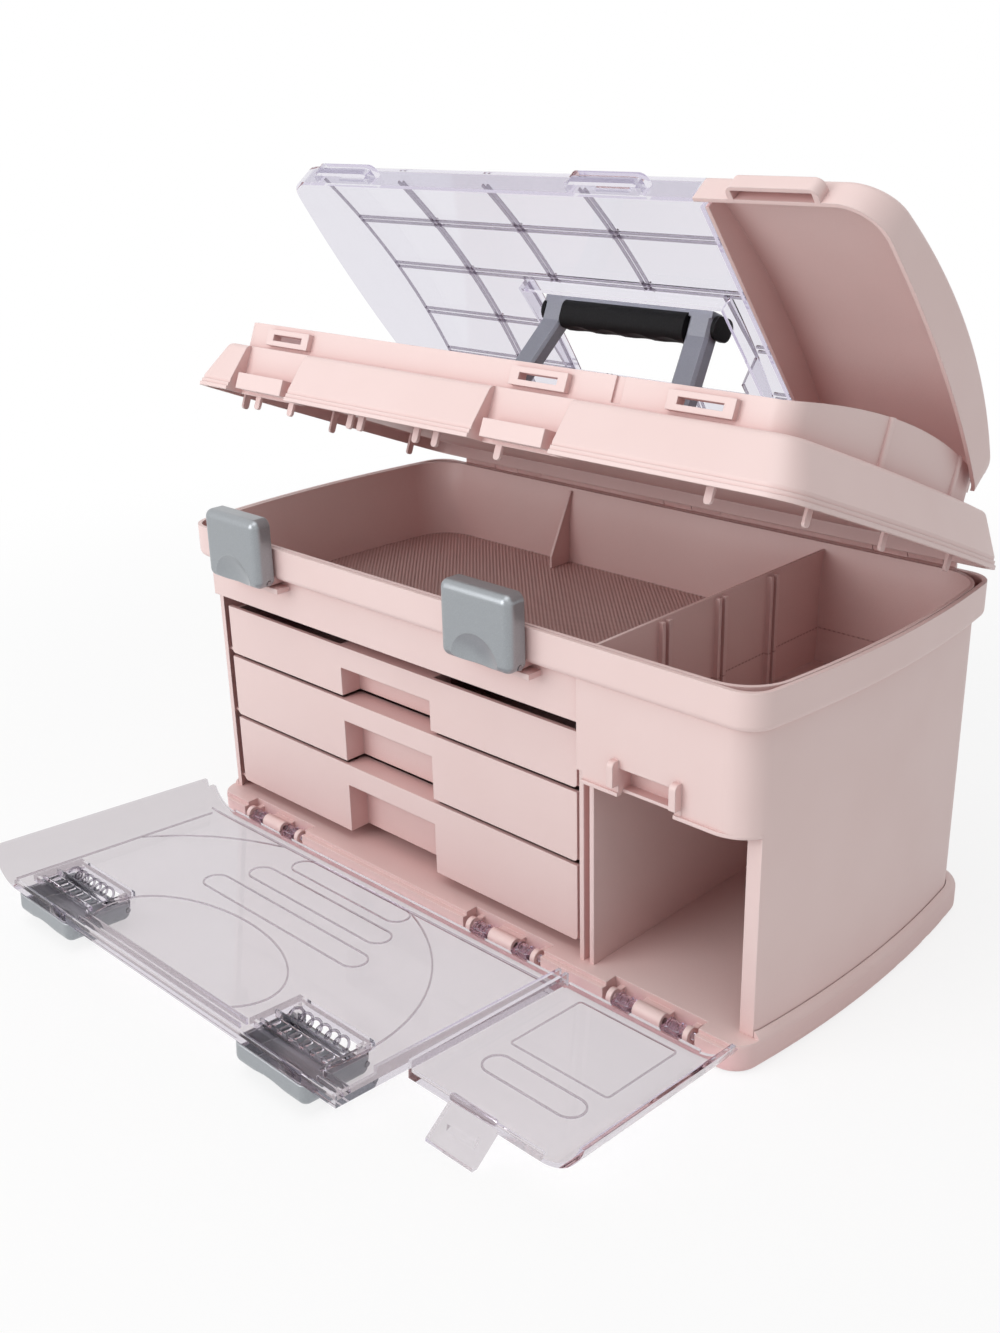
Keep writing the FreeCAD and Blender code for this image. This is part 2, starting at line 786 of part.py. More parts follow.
def catchRooms():
    """The pocket that the snap tab springs into, over a low bar that is set back."""
    x = ("catchLeftX", "catchRightX")
    return [
        block("TabRoom", x, ("-rimFront", "collarOut-rimFront+pocketIn"),
              ("cubbyTop+barTall", "sideTop+pocketTop")),
        block("BarRoom", x, ("-rimFront", "collarOut-rimFront+barSet"),
              ("cubbyTop-lipDrop-past", "cubbyTop+barTall+past")),
    ]


def latchMounts():
    """A small shelf with two ears under each lid latch."""
    parts = []
    for name, x in (("Left", "-leftLatch"), ("Right", "rightLatch")):
        parts.append(block("Shelf" + name,
                           (f"{x}-latchWidth/2-shelfPast", f"{x}+latchWidth/2+shelfPast"),
                           ("-shelfReach", "headerSet+wall/2+collarOut-rimFront"),
                           ("latchBottom-shelfClear-shelfTall", "latchBottom-shelfClear")))
        for side, away in (("A", "-latchWidth/2+latchWall+earSet"),
                           ("B", "latchWidth/2-latchWall-earSet-earWidth")):
            low = f"{x}+({away})"
            span = (low, f"{low}+earWidth")
            ear = block(f"Ear{name}{side}", span,
                        ("-latchAxisY", "headerSet+wall/2+collarOut-rimFront"),
                        ("latchAxisZ-latchPin-earRound", "latchAxisZ+latchPin+earRound"))
            tip = rodX(f"EarTip{name}{side}", "latchPin+earRound", span, "-latchAxisY", "latchAxisZ")
            parts += [ear, tip]
    return parts


def earBores():
    return [rodX(f"EarBore{name}", "latchPin+fitGap", (f"{x}-latchWidth/2", f"{x}+latchWidth/2"),
                 "-latchAxisY", "latchAxisZ")
            for name, x in (("Left", "-leftLatch"), ("Right", "rightLatch"))]


def lugSpans(x, count):
    """Where the knuckles of a hinge lie along X, from its middle outwards."""
    first = f"({x})-knuckleLength*{count}/2"
    return [(f"{first}+knuckleLength*{i}+knuckleGap/2", f"{first}+knuckleLength*{i + 1}-knuckleGap/2")
            for i in range(count)]


lidHinges = {"Left": "-lidHinge", "Middle": "0", "Right": "lidHinge"}


def rearLugs():
    """The outer knuckles of the lid's hinges, on webs from the collar."""
    parts = []
    for name, x in lidHinges.items():
        spans = lugSpans(x, 3)
        for side, span in (("A", spans[0]), ("B", spans[2])):
            parts.append(rodX(f"Knuckle{name}{side}", "lidKnuckle", span, "lidAxisY", "lidAxisZ"))
            parts.append(block(f"KnuckleWeb{name}{side}", span,
                               ("rimFront-collarWall/2", "lidAxisY+lidKnuckle*webShare"),
                               ("rimTop-webTall", "rimTop")))
    return parts


def rearRail():
    """A low rail that closes the slit behind the lid's rear lip, left open at the lid's own knuckles."""
    parts = []
    starts, ends = ["-railHalf"], []
    for x in lidHinges.values():
        ends.append(f"({x})-knuckleLength/2-railSheet/2")
        starts.append(f"({x})+knuckleLength/2+railSheet/2")
    ends.append("railHalf")
    for i, span in enumerate(zip(starts, ends)):
        parts.append(block(f"RearShelf{i}", span, ("rimFront-wall/2", "rimFront+railReach"),
                           ("rimTop-railTall", "rimTop")))
        parts.append(block(f"RearFin{i}", span, ("rimFront+railReach-railSheet", "rimFront+railReach"),
                           ("rimTop-past", "rimTop+railRise")))
    return parts


def rearBores():
    return [rodX(f"KnuckleBore{name}", "lidPin+fitGap",
                 (f"({x})-knuckleLength*2", f"({x})+knuckleLength*2"),
                 "lidAxisY", "lidAxisZ") for name, x in lidHinges.items()]


def lidHingePins():
    for name, x in lidHinges.items():
        pin = rodX(f"LidPin{name}", "lidPin", (f"({x})-knuckleLength*1.5", f"({x})+knuckleLength*1.5"),
                   "lidAxisY", "lidAxisZ")
        node(f"lid_hinge_pin_{name.lower()}", pin)


# ---- bin --------------------------------------------------------------------------------------

def storageBin():
    """A bin with a shallow side and a deep side, hung in the cabinet's collar, with walls that draw in."""
    hang = "rimTop-collarHeight+collarWall+binClear"
    corner = "rimCorner-collarOut-wall-binClear"
    half, back = "rimHalf-collarOut-wall-binClear", "rimFront-collarOut-wall-binClear"
    whole = loft("BinLower",
                 (f"{half}-binDraft", f"{back}-binFrontIn-binDraft*2", f"{back}-binDraft", corner,
                  "binDeep-binWall"),
                 (half, f"{back}-headerSet", back, corner, f"{hang}+past"))
    shallow = common("BinShallow", whole,
                     block("BinShallowRoom", ("-rimHalf", "rimHalf"), ("-rimFront", "rimFront"),
                                                ("binFloor-binWall", "rimTop")))
    deep = common("BinDeep", whole,
                  block("BinDeepRoom", ("binDivider", "rimHalf"), ("-rimFront", "rimFront"),
                        ("0", "rimTop")))
    rimIn = "(collarWall+binClear)"
    upper = bowed("BinUpper", f"rimHalf-{rimIn}", f"rimFront-{rimIn}", f"rimFront-{rimIn}",
                  (hang, "rimTop"),
                  f"rimCorner-{rimIn}")
    outer = fuse("BinOuter", shallow, deep, upper)
    hollow = binHollow()
    floorRoom = block("BinFloorRoom", ("-rimHalf", "rimHalf"), ("-rimFront", "rimFront"),
                      ("binFloor", "rimTop+past"))
    deepRoom = block("BinHollowRoom", ("binDivider+binWall", "rimHalf"), ("-rimFront", "rimFront"),
                     ("binDeep", "rimTop+past"))
    body = cut("BinBody", outer, common("BinHollowLow", hollow, floorRoom),
               common("BinHollowDeep", hollow, deepRoom))
    divider = block("BinDivide", ("binDivider", "binDivider+binWall"), ("-rimFront", "rimFront"),
                    ("binDeep", "cardTop+dividerUp"))
    inside = common("BinInside", outer, fuse("BinParts", divider, *(cardChannels() + binFins())))
    node("storage_bin", fuse("Bin", body, inside))


def binHollow():
    """One smooth hollow from the deep floor to the rim, as a loft through four outlines."""
    levels = (
        ("binDeepIn", "binDeepIn+binFrontIn", "binDeepIn-binDraft", "binDeep"),
        ("binFloorIn", "binFloorIn+binFrontIn", "binFloorIn-binDraft", "binFloor"),
        ("binStepIn", "binStepIn+headerSet", "binStepIn", "rimTop-collarHeight+collarWall"),
        ("collarWall+binClear+binWall", "collarWall+binClear+binWall", "collarWall+binClear+binWall",
         "rimTop+past"),
    )
    rings = [ring(f"rimHalf-({side})", f"rimFront-({front})", f"rimFront-({back})",
                  "rimCorner-collarWall-binClear-binWall", z)
             for side, front, back, z in levels]
    item = doc.addObject("Part::Feature", "BinHollow")
    item.Shape = Part.makeLoft(rings, True, False)
    return item


def cardChannels():
    """Three upright channels on the deep side of the divider."""
    parts = []
    for i in range(3):
        y = f"cardPitch*{i}-cardFirst"
        for side, low in (("A", y), ("B", f"{y}+cardChannel+cardRib")):
            parts.append(block(f"Channel{i}{side}",
                               ("binDivider+binWall/2", "binDivider+binWall+cardChannel"),
                               (low, f"{low}+cardRib"), ("binDeep-binWall/2", "cardTop")))
    return parts


def binFins():
    """A tapering fin on the back wall and a stub on the front wall of the shallow side."""
    parts = []
    for name, sign, wall in (("Back", 1, "rimFront-binFloorIn+binDraft"),
                             ("Front", -1, "rimFront-binFloorIn-binFrontIn")):
        far, foot = num("rimFront") * sign, num(f"{wall}-finReach") * sign
        top = num("rimFront-collarWall-binClear-binWall-finTopReach") * sign
        low, knee, high = num("binFloor-binWall/2"), num("binFloor+finFoot"), num("finTop")
        side = [(far, low), (foot, low), (foot, knee), (top, high), (far, high)]
        x = num("-finSide-binWall/2")
        wire = Part.makePolygon([FreeCAD.Vector(x, y, z) for y, z in side + side[:1]])
        fin = doc.addObject("Part::Feature", "Fin" + name)
        fin.Shape = Part.Face(wire).extrude(FreeCAD.Vector(num("binWall"), 0, 0))
        parts.append(fin)
    return parts


# ---- drawers ----------------------------------------------------------------------------------

def drawer(name, level, tall):
    """A shallow tray with a tall front and a pull notch that opens downwards."""
    gap = "drawerGap/2"
    low, high = f"{level}+{gap}", f"{level}+{tall}-{gap}"
    sides = ("-drawerLeft", "drawerRight")
    inset = "runnerReach/4"
    face = block(name + "Face", sides, ("-drawerFace", "drawerFront-drawerFace"), (low, high))
    soft = rounded(name + "FaceSoft", face, "drawerFront",
                   lambda edge: along(1)(edge) and box(edge).ZMin < num(low) + tiny)
    tray = block(name + "Tray", (f"-drawerLeft+{inset}", f"drawerRight-{inset}"),
                 ("drawerFront/2-drawerFace", "drawerBack"),
                 (f"{level}+drawerInset", f"{level}+{tall}-drawerInset"))
    hollow = block(name + "Hollow",
                   (f"-drawerLeft+{inset}+drawerWall", f"drawerRight-{inset}-drawerWall"),
                   ("drawerFront-drawerFace", "drawerBack-drawerWall"),
                   (f"{level}+drawerInset+drawerWall", high))
    middle = "(drawerRight-drawerLeft)/2"
    half = "notchWidth/2"
    hood = block(name + "Hood", (f"{middle}-{half}-drawerWall", f"{middle}+{half}+drawerWall"),
                 ("drawerFront/2-drawerFace", "notchDepth+drawerWall-drawerFace"), (low, high))
    notch = block(name + "Notch", (f"{middle}-{half}", f"{middle}+{half}"),
                  ("-drawerFace-past", "notchDepth-drawerFace"),
                  (f"{level}-past", f"{level}+{tall}-notchDrop"))
    shell = cut(name + "Shell", fuse(name + "Outer", soft, tray), hollow)
    return cut(name, fuse(name + "Hooded", shell, hood), notch)


def drawers():
    level = "drawerBottom"
    for name, tall in (("bottom", "drawerLow"), ("middle", "drawerMid"), ("top", "drawerHigh")):
        node("drawer_" + name, drawer("Drawer" + name.title(), level, tall))
        level = f"{level}+{tall}"


# ---- doors ------------------------------------------------------------------------------------

def doorSkin(name, x, top):
    """A sheet that follows the cabinet's front and turns its corner."""
    half, front = "rimHalf+doorProud", "plinthFront+doorProud"
    z = ("doorBottom", top)
    outer = bowed(name + "Outer", half, front, front, z, "doorCorner")
    inner = bowed(name + "Inner", f"{half}-doorSheet", f"{front}-doorSheet", front,
                  ("doorBottom-past", f"{top}+past"), "doorCorner-doorSheet")
    keep = block(name + "Keep", x, ("-rimFront-past*2", "-flangeReach"), z)
    return common(name + "Skin", cut(name + "Sheet", outer, inner), keep)


def footTrim(name, x):
    """Room over the base where a door turns the corner."""
    step = block(name + "FootStep", x, ("-rimFront-past*2", "-flangeReach"),
                 ("doorBottom-past", "floorTop+doorCornerClear"))
    rise = block(name + "FootRise", x, ("-jambFront-doorCornerClear*2", "-flangeReach+past"),
                 ("doorBottom", "plinthTop+doorCornerClear"))
    return fuse(name + "FootTrim", step, rise)


def doorHinge(name, x):
    """A pin with a middle leaf, carried from the bottom edge of a door."""
    pin = rodX(name + "Pin", "doorPin", (f"{x}-hingeWidth/2-past", f"{x}+hingeWidth/2+past"),
               "-doorAxisY", "doorAxisZ")
    parts = [pin]
    inside = "hingeTab/2+leafClear"
    outside = "hingeWidth/2-hingeLug-leafClear"
    for side, span in (("A", (f"{x}-({outside})", f"{x}-({inside})")),
                       ("B", (f"{x}+{inside}", f"{x}+{outside}"))):
        parts.append(block(f"{name}Leaf{side}", span, ("-plinthFront-doorProud", "doorPin/2-doorAxisY"),
                           ("doorAxisZ-doorPin", "doorBottom+past")))
    return parts


def drawerDoor():
    top = "doorTop"
    skin = doorSkin("Door", ("-rimHalf", "doorRight"), top)
    inside = "doorSheet-plinthFront-doorProud"
    reach = ("doorProud-plinthFront", "skirtReach-plinthFront-doorProud")
    edge = block("DoorEdge", ("doorRight-doorSkirt", "doorRight"), reach,
                 ("doorBottom+skirtUp", "postTop-skirtClear"))
    rim = block("DoorRim", ("doorRight-doorSkirt", "doorRight"),
                ("doorProud-plinthFront", "doorSheet+rimReach-plinthFront"),
                ("postTop-skirtClear*2", top))
    lintel = block("DoorLintel", ("-rimHalf+rimCorner", "doorRight"),
                   ("doorProud-plinthFront", "doorSheet+lintelReach-plinthFront"),
                   (f"{top}-doorSkirt", top))
    foot = footTrim("Door", ("-rimHalf-past*2", "doorCorner-rimHalf+footPast"))
    frames, holes, pins = [], [], []
    for name, x in (("Left", "-leftLever"), ("Right", "rightLever")):
        span = (f"{x}-windowWidth/2", f"{x}+windowWidth/2")
        wide = (f"{span[0]}-frameWall", f"{span[1]}+frameWall")
        frames.append(block("Frame" + name, wide,
                            ("doorProud-plinthFront", "frameReach+doorSheet-plinthFront-doorProud"),
                            ("windowBottom-frameWall", "windowTop+frameWall")))
        holes.append(block("Window" + name, span, ("-plinthFront-past*2", "-jambFront"),
                           ("windowBottom", "windowTop")))
        pins += leverEars(name, x)
    hinge = doorHinge("LeftDoor", "-leftHinge") + doorHinge("RightDoor", "rightHinge")
    body = cut("DoorBody", fuse("DoorWhole", skin, edge, rim, lintel, *frames), foot, *holes)
    node("drawer_door", fuse("DrawerDoor", body, *(hinge + pins)), doorTurn)


def leverEars(name, x):
    """Two ears across the window that carry a latch lever's pin."""
    parts = []
    for side, away in (("A", "-leverWidth/2+latchWall+earSet/2"),
                       ("B", "leverWidth/2-latchWall-earSet/2-earWidth")):
        low = f"{x}+({away})"
        span = (low, f"{low}+earWidth")
        bar = block(f"LeverEar{name}{side}", span, ("-leverAxisY", "frameReach-plinthFront"),
                    ("windowBottom-windowUp", "leverAxisZ+latchPin+earRound"))
        tip = rodX(f"LeverTip{name}{side}", "latchPin+earRound", span, "-leverAxisY", "leverAxisZ")
        bore = rodX(f"LeverBore{name}{side}", "latchPin+fitGap", (f"{span[0]}-past", f"{span[1]}+past"),
                    "-leverAxisY", "leverAxisZ")
        parts.append(cut(f"LeverLug{name}{side}", fuse(f"LeverArm{name}{side}", bar, tip), bore))
    return parts


def sideDoor():
    top = "sideTop"
    skin = doorSkin("Side", ("sideLeft", "rimHalf"), top)
    reach = ("doorProud-plinthFront", "skirtReach-plinthFront-doorProud")
    edge = block("SideEdge", ("sideLeft", "sideLeft+doorSkirt"), reach, ("doorBottom+skirtUp", top))
    lintel = block("SideLintel", ("sideLeft", "rimHalf-rimCorner"),
                   ("doorProud-plinthFront", "doorSheet+sideReach-plinthFront"),
                   (f"{top}-doorSkirt", top))
    foot = footTrim("Side", ("rimHalf-doorCorner-footPast", "rimHalf+past*2"))
    body = cut("SideBody", fuse("SideWhole", skin, edge, lintel), foot)
    node("side_door", fuse("SideDoor", body, snapTab(), *doorHinge("SideDoor", "sideHinge")), sideTurn)


def snapTab():
    """A tongue that leaves the door's top edge outwards, with a slot across it."""
    y, z = num("-plinthFront-doorProud"), num("sideTop")
    out, up, tip, thin, root = (num(name)
                                for name in ("tabOut", "tabUp", "tabTip", "tabThin", "tabRoot"))
    side = [(y, z - tip), (y - out, z + up), (y - out, z + up + tip), (y - out + thin, z + up + tip),
            (y + root, z)]
    left, right = num("sideHinge-tabLeft"), num("sideHinge+tabRight")
    wire = Part.makePolygon([FreeCAD.Vector(left, a, b) for a, b in side + side[:1]])
    tongue = doc.addObject("Part::Feature", "SnapTongue")
    tongue.Shape = Part.Face(wire).extrude(FreeCAD.Vector(right - left, 0, 0))
    slot = block("SnapSlot", ("sideHinge-tabLeft+slotIn", "sideHinge+tabRight-slotIn"),
                 ("-plinthFront-tabOut*2", "-plinthFront"), ("sideTop+slotUp",
                                                             "sideTop+slotUp+tabThin"))
    return cut("SnapTab", tongue, slot)


# ---- latches ----------------------------------------------------------------------------------

def latchCap(name, x, width, back, bottom, scoopTop):
    """A hollow cap with round edges and a thumb scoop in one end."""
    span = (f"{x}-{width}/2", f"{x}+{width}/2")
    front = f"-({back})-latchDepth"
    top = f"{bottom}+latchTall"
    cap = block(name + "Block", span, (front, f"-({back})"), (bottom, top))
    soft = rounded(name + "Soft", cap, "latchRound", lambda edge: box(edge).YMax < num(front) + tiny
                   or along(1)(edge) or (along(0)(edge) and box(edge).ZMax < num(bottom) + tiny))
    hollow = block(name + "Hollow", (f"{span[0]}+latchWall", f"{span[1]}-latchWall"),
                   (f"{front}+latchWall", f"past-({back})"),
                   (f"{bottom}+latchWall", f"{top}-latchWall"))
    end = top if scoopTop else bottom
    dish = "(scoopRadius*scoopRadius+scoopDepth*scoopDepth)/(2*scoopDepth)"
    scoop = ball(name + "Scoop", dish, x, f"{front}+scoopDepth-{dish}", end)
    shadow = ball(name + "Shadow", f"{dish}+latchWall", x, f"{front}+scoopDepth-{dish}", end)
    return cut(name + "Body", soft, cut(name + "Room", hollow, shadow), scoop), span


def lidLatch(name, x):
    body, span = latchCap("LidLatch" + name, x, "latchWidth", "latchBack", "latchBottom", False)
    top = "latchBottom+latchTall"
    hook = block(f"LatchHook{name}", (f"{span[0]}+hookIn", f"{span[1]}-hookIn"),
                 ("-latchBack-latchWall", "hookReach-latchBack"),
                 (f"{top}-latchWall*2", f"{top}-latchWall/2"))
    bore = rodX(f"LatchBore{name}", "latchPin+fitGap", (f"{span[0]}-past", f"{span[1]}+past"),
                "-latchAxisY", "latchAxisZ")
    rooms = []
    earDeep = ("-latchAxisY-latchPin-earRound-earClear", "past-latchBack")
    for side, ear in (("A", (f"{span[0]}+latchWall", f"{span[0]}+latchWall+earSet+earWidth+earClear")),
                      ("B", (f"{span[1]}-latchWall-earSet-earWidth-earClear", f"{span[1]}-latchWall"))):
        rooms.append(block(f"LatchEarRoom{name}{side}", ear, earDeep,
                           ("latchBottom-past", "latchAxisZ+latchPin+earRound+earClear*2")))
    node(f"lid_latch_{name.lower()}",
         cut(f"LidLatch{name}", fuse(f"LatchHooked{name}", body, hook), bore, *rooms))
    pin = rodX(f"LatchPin{name}", "latchPin", span, "-latchAxisY", "latchAxisZ")
    node(f"lid_latch_pin_{name.lower()}", pin)


def doorLatch(name, x):
    back = "plinthFront+doorProud+leverClear"
    body, span = latchCap("DoorLatch" + name, x, "leverWidth", back, "leverBottom", True)
    bore = rodX(f"LeverPinBore{name}", "latchPin+fitGap", (f"{span[0]}-past", f"{span[1]}+past"),
                "-leverAxisY", "leverAxisZ")
    room = block(f"LeverEarRoom{name}", (f"{span[0]}+latchWall", f"{span[1]}-latchWall"),
                 ("-leverAxisY-latchPin-earRound-earClear", f"past-({back})"),
                 ("leverBottom-past", "leverAxisZ+latchPin+earRound+earClear*2"))
    node(f"door_latch_{name.lower()}", cut(f"DoorLatch{name}", body, bore, room), doorTurn)
    pin = rodX(f"LeverPin{name}", "latchPin", span, "-leverAxisY", "leverAxisZ")
    node(f"door_latch_pin_{name.lower()}", pin, doorTurn)


# ---- lid --------------------------------------------------------------------------------------

def lidBase():
    bottom = "rimTop+lidGap"
    steps = []
    for i in range(3):
        away = f"lipSet*{i}"
        steps.append(bowed(f"LipStep{i}", f"lipHalf-{away}", f"lipFront-{away}", f"lipBack-{away}",
                           (f"{bottom}+lipStep*{i}", f"{bottom}+lipStep*{i + 1}"), f"lipCorner-{away}"))
    lipTop = f"{bottom}+lipStep*3"
    slope = loft("ShoulderSlope",
                 ("lipHalf-lipSet*2", "lipFront-lipSet*2", "lipBack-lipSet*2", "lipCorner-lipSet*2",
                  lipTop),
                 ("shoulderHalf", "shoulderFront", "shoulderBack", "shoulderCorner", "shoulderTop"))
    shoulder = rounded("Shoulder", slope, "shoulderRound", levelAt("shoulderTop"))
    tray = bowed("TrayOuter", "trayHalf", "trayFront", "trayBack", ("trayFloor", "trayTop"),
                 "trayCorner")
    under = bowed("UnderLow", "lipHalf-lipSet*2-wall", "lipFront-lipSet*2-wall",
                  "lipBack-lipSet*2-wall",
                  (f"{bottom}-past", lipTop), "lipCorner-lipSet*2-wall")
    taper = loft("UnderTaper",
                 ("lipHalf-lipSet*2-wall", "lipFront-lipSet*2-wall", "lipBack-lipSet*2-wall",
                                "lipCorner-lipSet*2-wall", lipTop),
                 ("shoulderHalf-wall", "shoulderFront-wall", "shoulderBack-wall", "shoulderCorner-wall",
                  "shoulderTop-wall"))
    hollow = bowed("TrayHollow", "trayHalf-wall", "trayFront-wall", "trayBack-wall",
                   ("trayFloor+wall", "trayTop+past"), "trayCorner-wall")
    room = cut("UnderRoom", fuse("UnderWhole", under, taper), tray)
    outer = fuse("LidOuter", *steps, shoulder, tray)
    body = cut("LidHollow", outer, room, hollow)
    rear = block("RearDeck", ("-trayHalf+trayCorner", "trayHalf-trayCorner"),
                 ("trayBack-wall", "trayBack+wall"),
                 ("shoulderTop-past", "rearTop"))
    added = lidCatches() + well() + lidKnuckles() + lidTabs() + coverLugs() + sideArch()
    body = fuse("LidWalls", body, rear, recessWalls(outer), *added)
    body = cut("LidOpened", body, traySeam(), *(latchRecesses() + catchSlots() + lidBores()))
    node("lid_base", fuse("LidBase", body, *latchPads()), lidTurn)


def lidCatches():
    """Slotted bosses on the tray's front wall that the covers' clips spring into."""
    return [block("Catch" + name, (f"{x}-catchWidth/2", f"{x}+catchWidth/2"),
                  ("-trayFront-catchDepth", "wall/2-trayFront"),
                  ("catchBottom", "catchTop")) for name, x in catches.items()]


catches = {"Left": "-catchLeft", "Mid": "catchMid", "Right": "catchRight"}


def catchSlots():
    return [block("CatchSlot" + name,
                  (f"{x}-catchWidth/2+catchBorder", f"{x}+catchWidth/2-catchBorder"),
                  ("-trayFront-catchDepth-past", "wall+past-trayFront"),
                  ("(catchBottom+catchTop)/2-catchSlot/2", "(catchBottom+catchTop)/2+catchSlot/2"))
            for name, x in catches.items()]


def well():
    """A walled well round the handle's feet, with the partition under the covers' joint."""
    outer = block("WellOuter", ("-wellHalf", "wellHalf"), ("-wellFront", "wellBack"),
                  ("trayFloor", "trayTop-wellDown"))
    inner = block("WellInner", ("wall-wellHalf", "wellHalf-wall"), ("wall-wellFront", "wellBack-wall"),
                  ("trayFloor+wall", "trayTop"))
    parts = [cut("Well", outer, inner)]
    partition = "coverSplit"
    parts.append(block("Partition", (f"{partition}-wall/2", f"{partition}+wall/2"),
                       ("wall/2-trayFront", "trayBack-wall/2"),
                       ("trayFloor+past", "flangeBottom-flangeClear")))
    for side, x in (("Left", "-armFootHalf-armClear-wall*3"), ("Right", "armFootHalf+armClear")):
        parts.append(block("HandleBoss" + side, (x, f"{x}+wall*3"),
                           ("handleAxisY-bossHalf", "handleAxisY+bossHalf"),
                           ("trayFloor+past", "handleAxisZ+bossUp")))
    return parts


def recessSpan(x, past="0"):
    """How far a recess reaches along X, with room past its own sides."""
    half = f"latchWidth/2+recessClear+{past}"
    return (f"{x}-({half})", f"{x}+{half}")


lidLatches = {"Left": "-leftLatch", "Right": "rightLatch"}


def latchRecesses():
    """Full-height recesses in the lid's front slope, one behind each latch."""
    return [block("Recess" + name, recessSpan(x), ("-lipFront-past", "-recessBack"),
                  ("rimTop", "shoulderTop+past"))
            for name, x in lidLatches.items()]


def recessWalls(outer):
    """What closes the recesses towards the lid's inside, as far as the lid's outline."""
    rooms = [block("RecessRoom" + name, recessSpan(x, "wall"), ("-lipFront", "wall-recessBack"),
                   ("rimTop+lidGap", "shoulderTop"))
             for name, x in lidLatches.items()]
    return common("RecessWalls", outer, fuse("RecessRooms", *rooms))


def latchPads():
    """Blocks in the recesses that the latch hooks close over."""
    return [block("Pad" + name, (f"{x}-padWidth/2", f"{x}+padWidth/2"),
                  ("padSet-lipFront", "wall/2-recessBack"),
                  ("rimTop+lidGap+padLift", "padTop")) for name, x in lidLatches.items()]


def traySeam():
    """A groove down the tray's front wall, beside the covers' joint."""
    return block("TraySeam", ("coverSplit-seamWidth-seamAway", "coverSplit-seamAway"),
                 ("-trayFront-past", "seamDeep-trayFront"),
                 ("shoulderTop+seamAway", "trayTop+past"))


def sideArch():
    """The tray's right wall rises under the plain cover's arch, with two ribs outside."""
    z = ("trayTop-wall", "coverTop")
    outer = bowed("ArchOuter", "trayHalf", "trayFront", "trayBack", z, "trayCorner")
    inner = bowed("ArchInner", "trayHalf-wall", "trayFront-wall", "trayBack-wall", z, "trayCorner-wall")
    roof = rodX("ArchRoof", "coverRadius-coverSheet-archClear", ("trayHalf-trayCorner", "rimHalf"),
                "coverMiddle",
                "coverTop-coverRadius")
    parts = [common("ArchWall", cut("ArchRing", outer, inner), roof)]
    for name, y, out in (("Front", "-ribFrontY", "ribOut"), ("Back", "ribBackY", "ribOut-ribBow")):
        rib = block("ArchRib" + name, ("trayHalf-ribSink-wall/2", f"trayHalf+{out}"),
                    (f"{y}-ribHalf", f"{y}+ribHalf"),
                    ("shoulderTop-wall/2", "coverTop"))
        soft = rounded("ArchRibSoft" + name, rib, "ribHalf*ribBend",
                       lambda e: along(2)(e) and box(e).XMin > num("trayHalf-ribSink"))
        parts.append(common("ArchRibCut" + name, soft, roof))
    return parts


def lidKnuckles():
    parts = []
    for name, x in lidHinges.items():
        span = lugSpans(x, 3)[1]
        parts.append(rodX("LidKnuckle" + name, "lidKnuckle", span, "lidAxisY", "lidAxisZ"))
        parts.append(block("LidWeb" + name, span, ("lipBack-wall", "lidAxisY"),
                           ("lidAxisZ-webDrop", "lidAxisZ+lidKnuckle")))
    return parts


def lidBores():
    tools = []
    for name, x in lidHinges.items():
        span = lugSpans(x, 3)[1]
        tools.append(rodX("LidBore" + name, "lidPin+fitGap", (f"{span[0]}-past", f"{span[1]}+past"),
                          "lidAxisY", "lidAxisZ"))
        for side, lug in (("A", lugSpans(x, 3)[0]), ("B", lugSpans(x, 3)[2])):
            tools.append(rodX(f"LugRoom{name}{side}", "lidKnuckle+lugClear",
                              (f"{lug[0]}-lugSide", f"{lug[1]}+lugSide"), "lidAxisY", "lidAxisZ"))
    tools.append(rodX("HandleBore", "handlePin+fitGap", ("-armFootHalf-wall*4", "armFootHalf+wall*4"),
                      "handleAxisY", "handleAxisZ"))
    for name, x in coverHinges.items():
        tools.append(rodX("CoverBore" + name, "coverPin+fitGap",
                          (f"({x})-knuckleLength*2", f"({x})+knuckleLength*2"),
                          "coverAxisY", "coverAxisZ"))
    return tools


coverHinges = {"Left": "-coverHinge", "Mid": "midHinge", "Right": "pinkHinge"}


def coverLugs():
    """Lugs on the tray's back wall for the covers' hinges."""
    parts = []
    for name, x in coverHinges.items():
        for side, span in (("A", lugSpans(x, 3)[0]), ("B", lugSpans(x, 3)[2])):
            parts.append(rodX(f"CoverLug{name}{side}", "coverKnuckle", span, "coverAxisY",
                              "coverAxisZ"))
            parts.append(block(f"CoverLugWeb{name}{side}", span,
                               ("trayBack-wall/2", "coverAxisY+coverKnuckle*webShare"),
                               ("rearTop-past*2", "coverAxisZ")))
    return parts


def lidTabs():
    """Small guide tabs with round tips that hang from the lid's rim into the bin."""
    bottom = "rimTop+lidGap-tabReach"
    front = "-lipFront+tabInset"
    z = (bottom, "shoulderTop-wall/2")
    spots = ("-leftLatch-tabAway", "-leftLatch+tabNear", "-wellHalf+tabShort", "-wellHalf+tabLong",
             "-tabMid", "tabLong-tabMid",
             "rightLatch-tabNear", "rimHalf-tabSide-tabMid*1.5")
    parts = [roundTab(f"TabFront{i}", (x, f"{x}+tabWidth"), (front, f"{front}+tabSheet"), z, 1) for i,
             x in enumerate(spots)]
    for i in range(3):
        y = f"tabSideRow*{i - 1}-tabShort"
        for side, x in (("Left", "tabSide-rimHalf"), ("Right", "rimHalf-tabSide-tabSheet")):
            parts.append(roundTab(f"Tab{side}{i}", (x, f"{x}+tabSheet"), (y, f"{y}+tabWidth"), z, 0))
    return parts


def roundTab(name, x, y, z, thin):
    """A tab whose lower corners are round; thin is the axis across its sheet."""
    return rounded(name, block(name + "Block", x, y, z), "tabWidth*tabBend",
                   lambda edge: along(thin)(edge) and box(edge).ZMax < num(z[0]) + tiny)


# ---- covers -----------------------------------------------------------------------------------

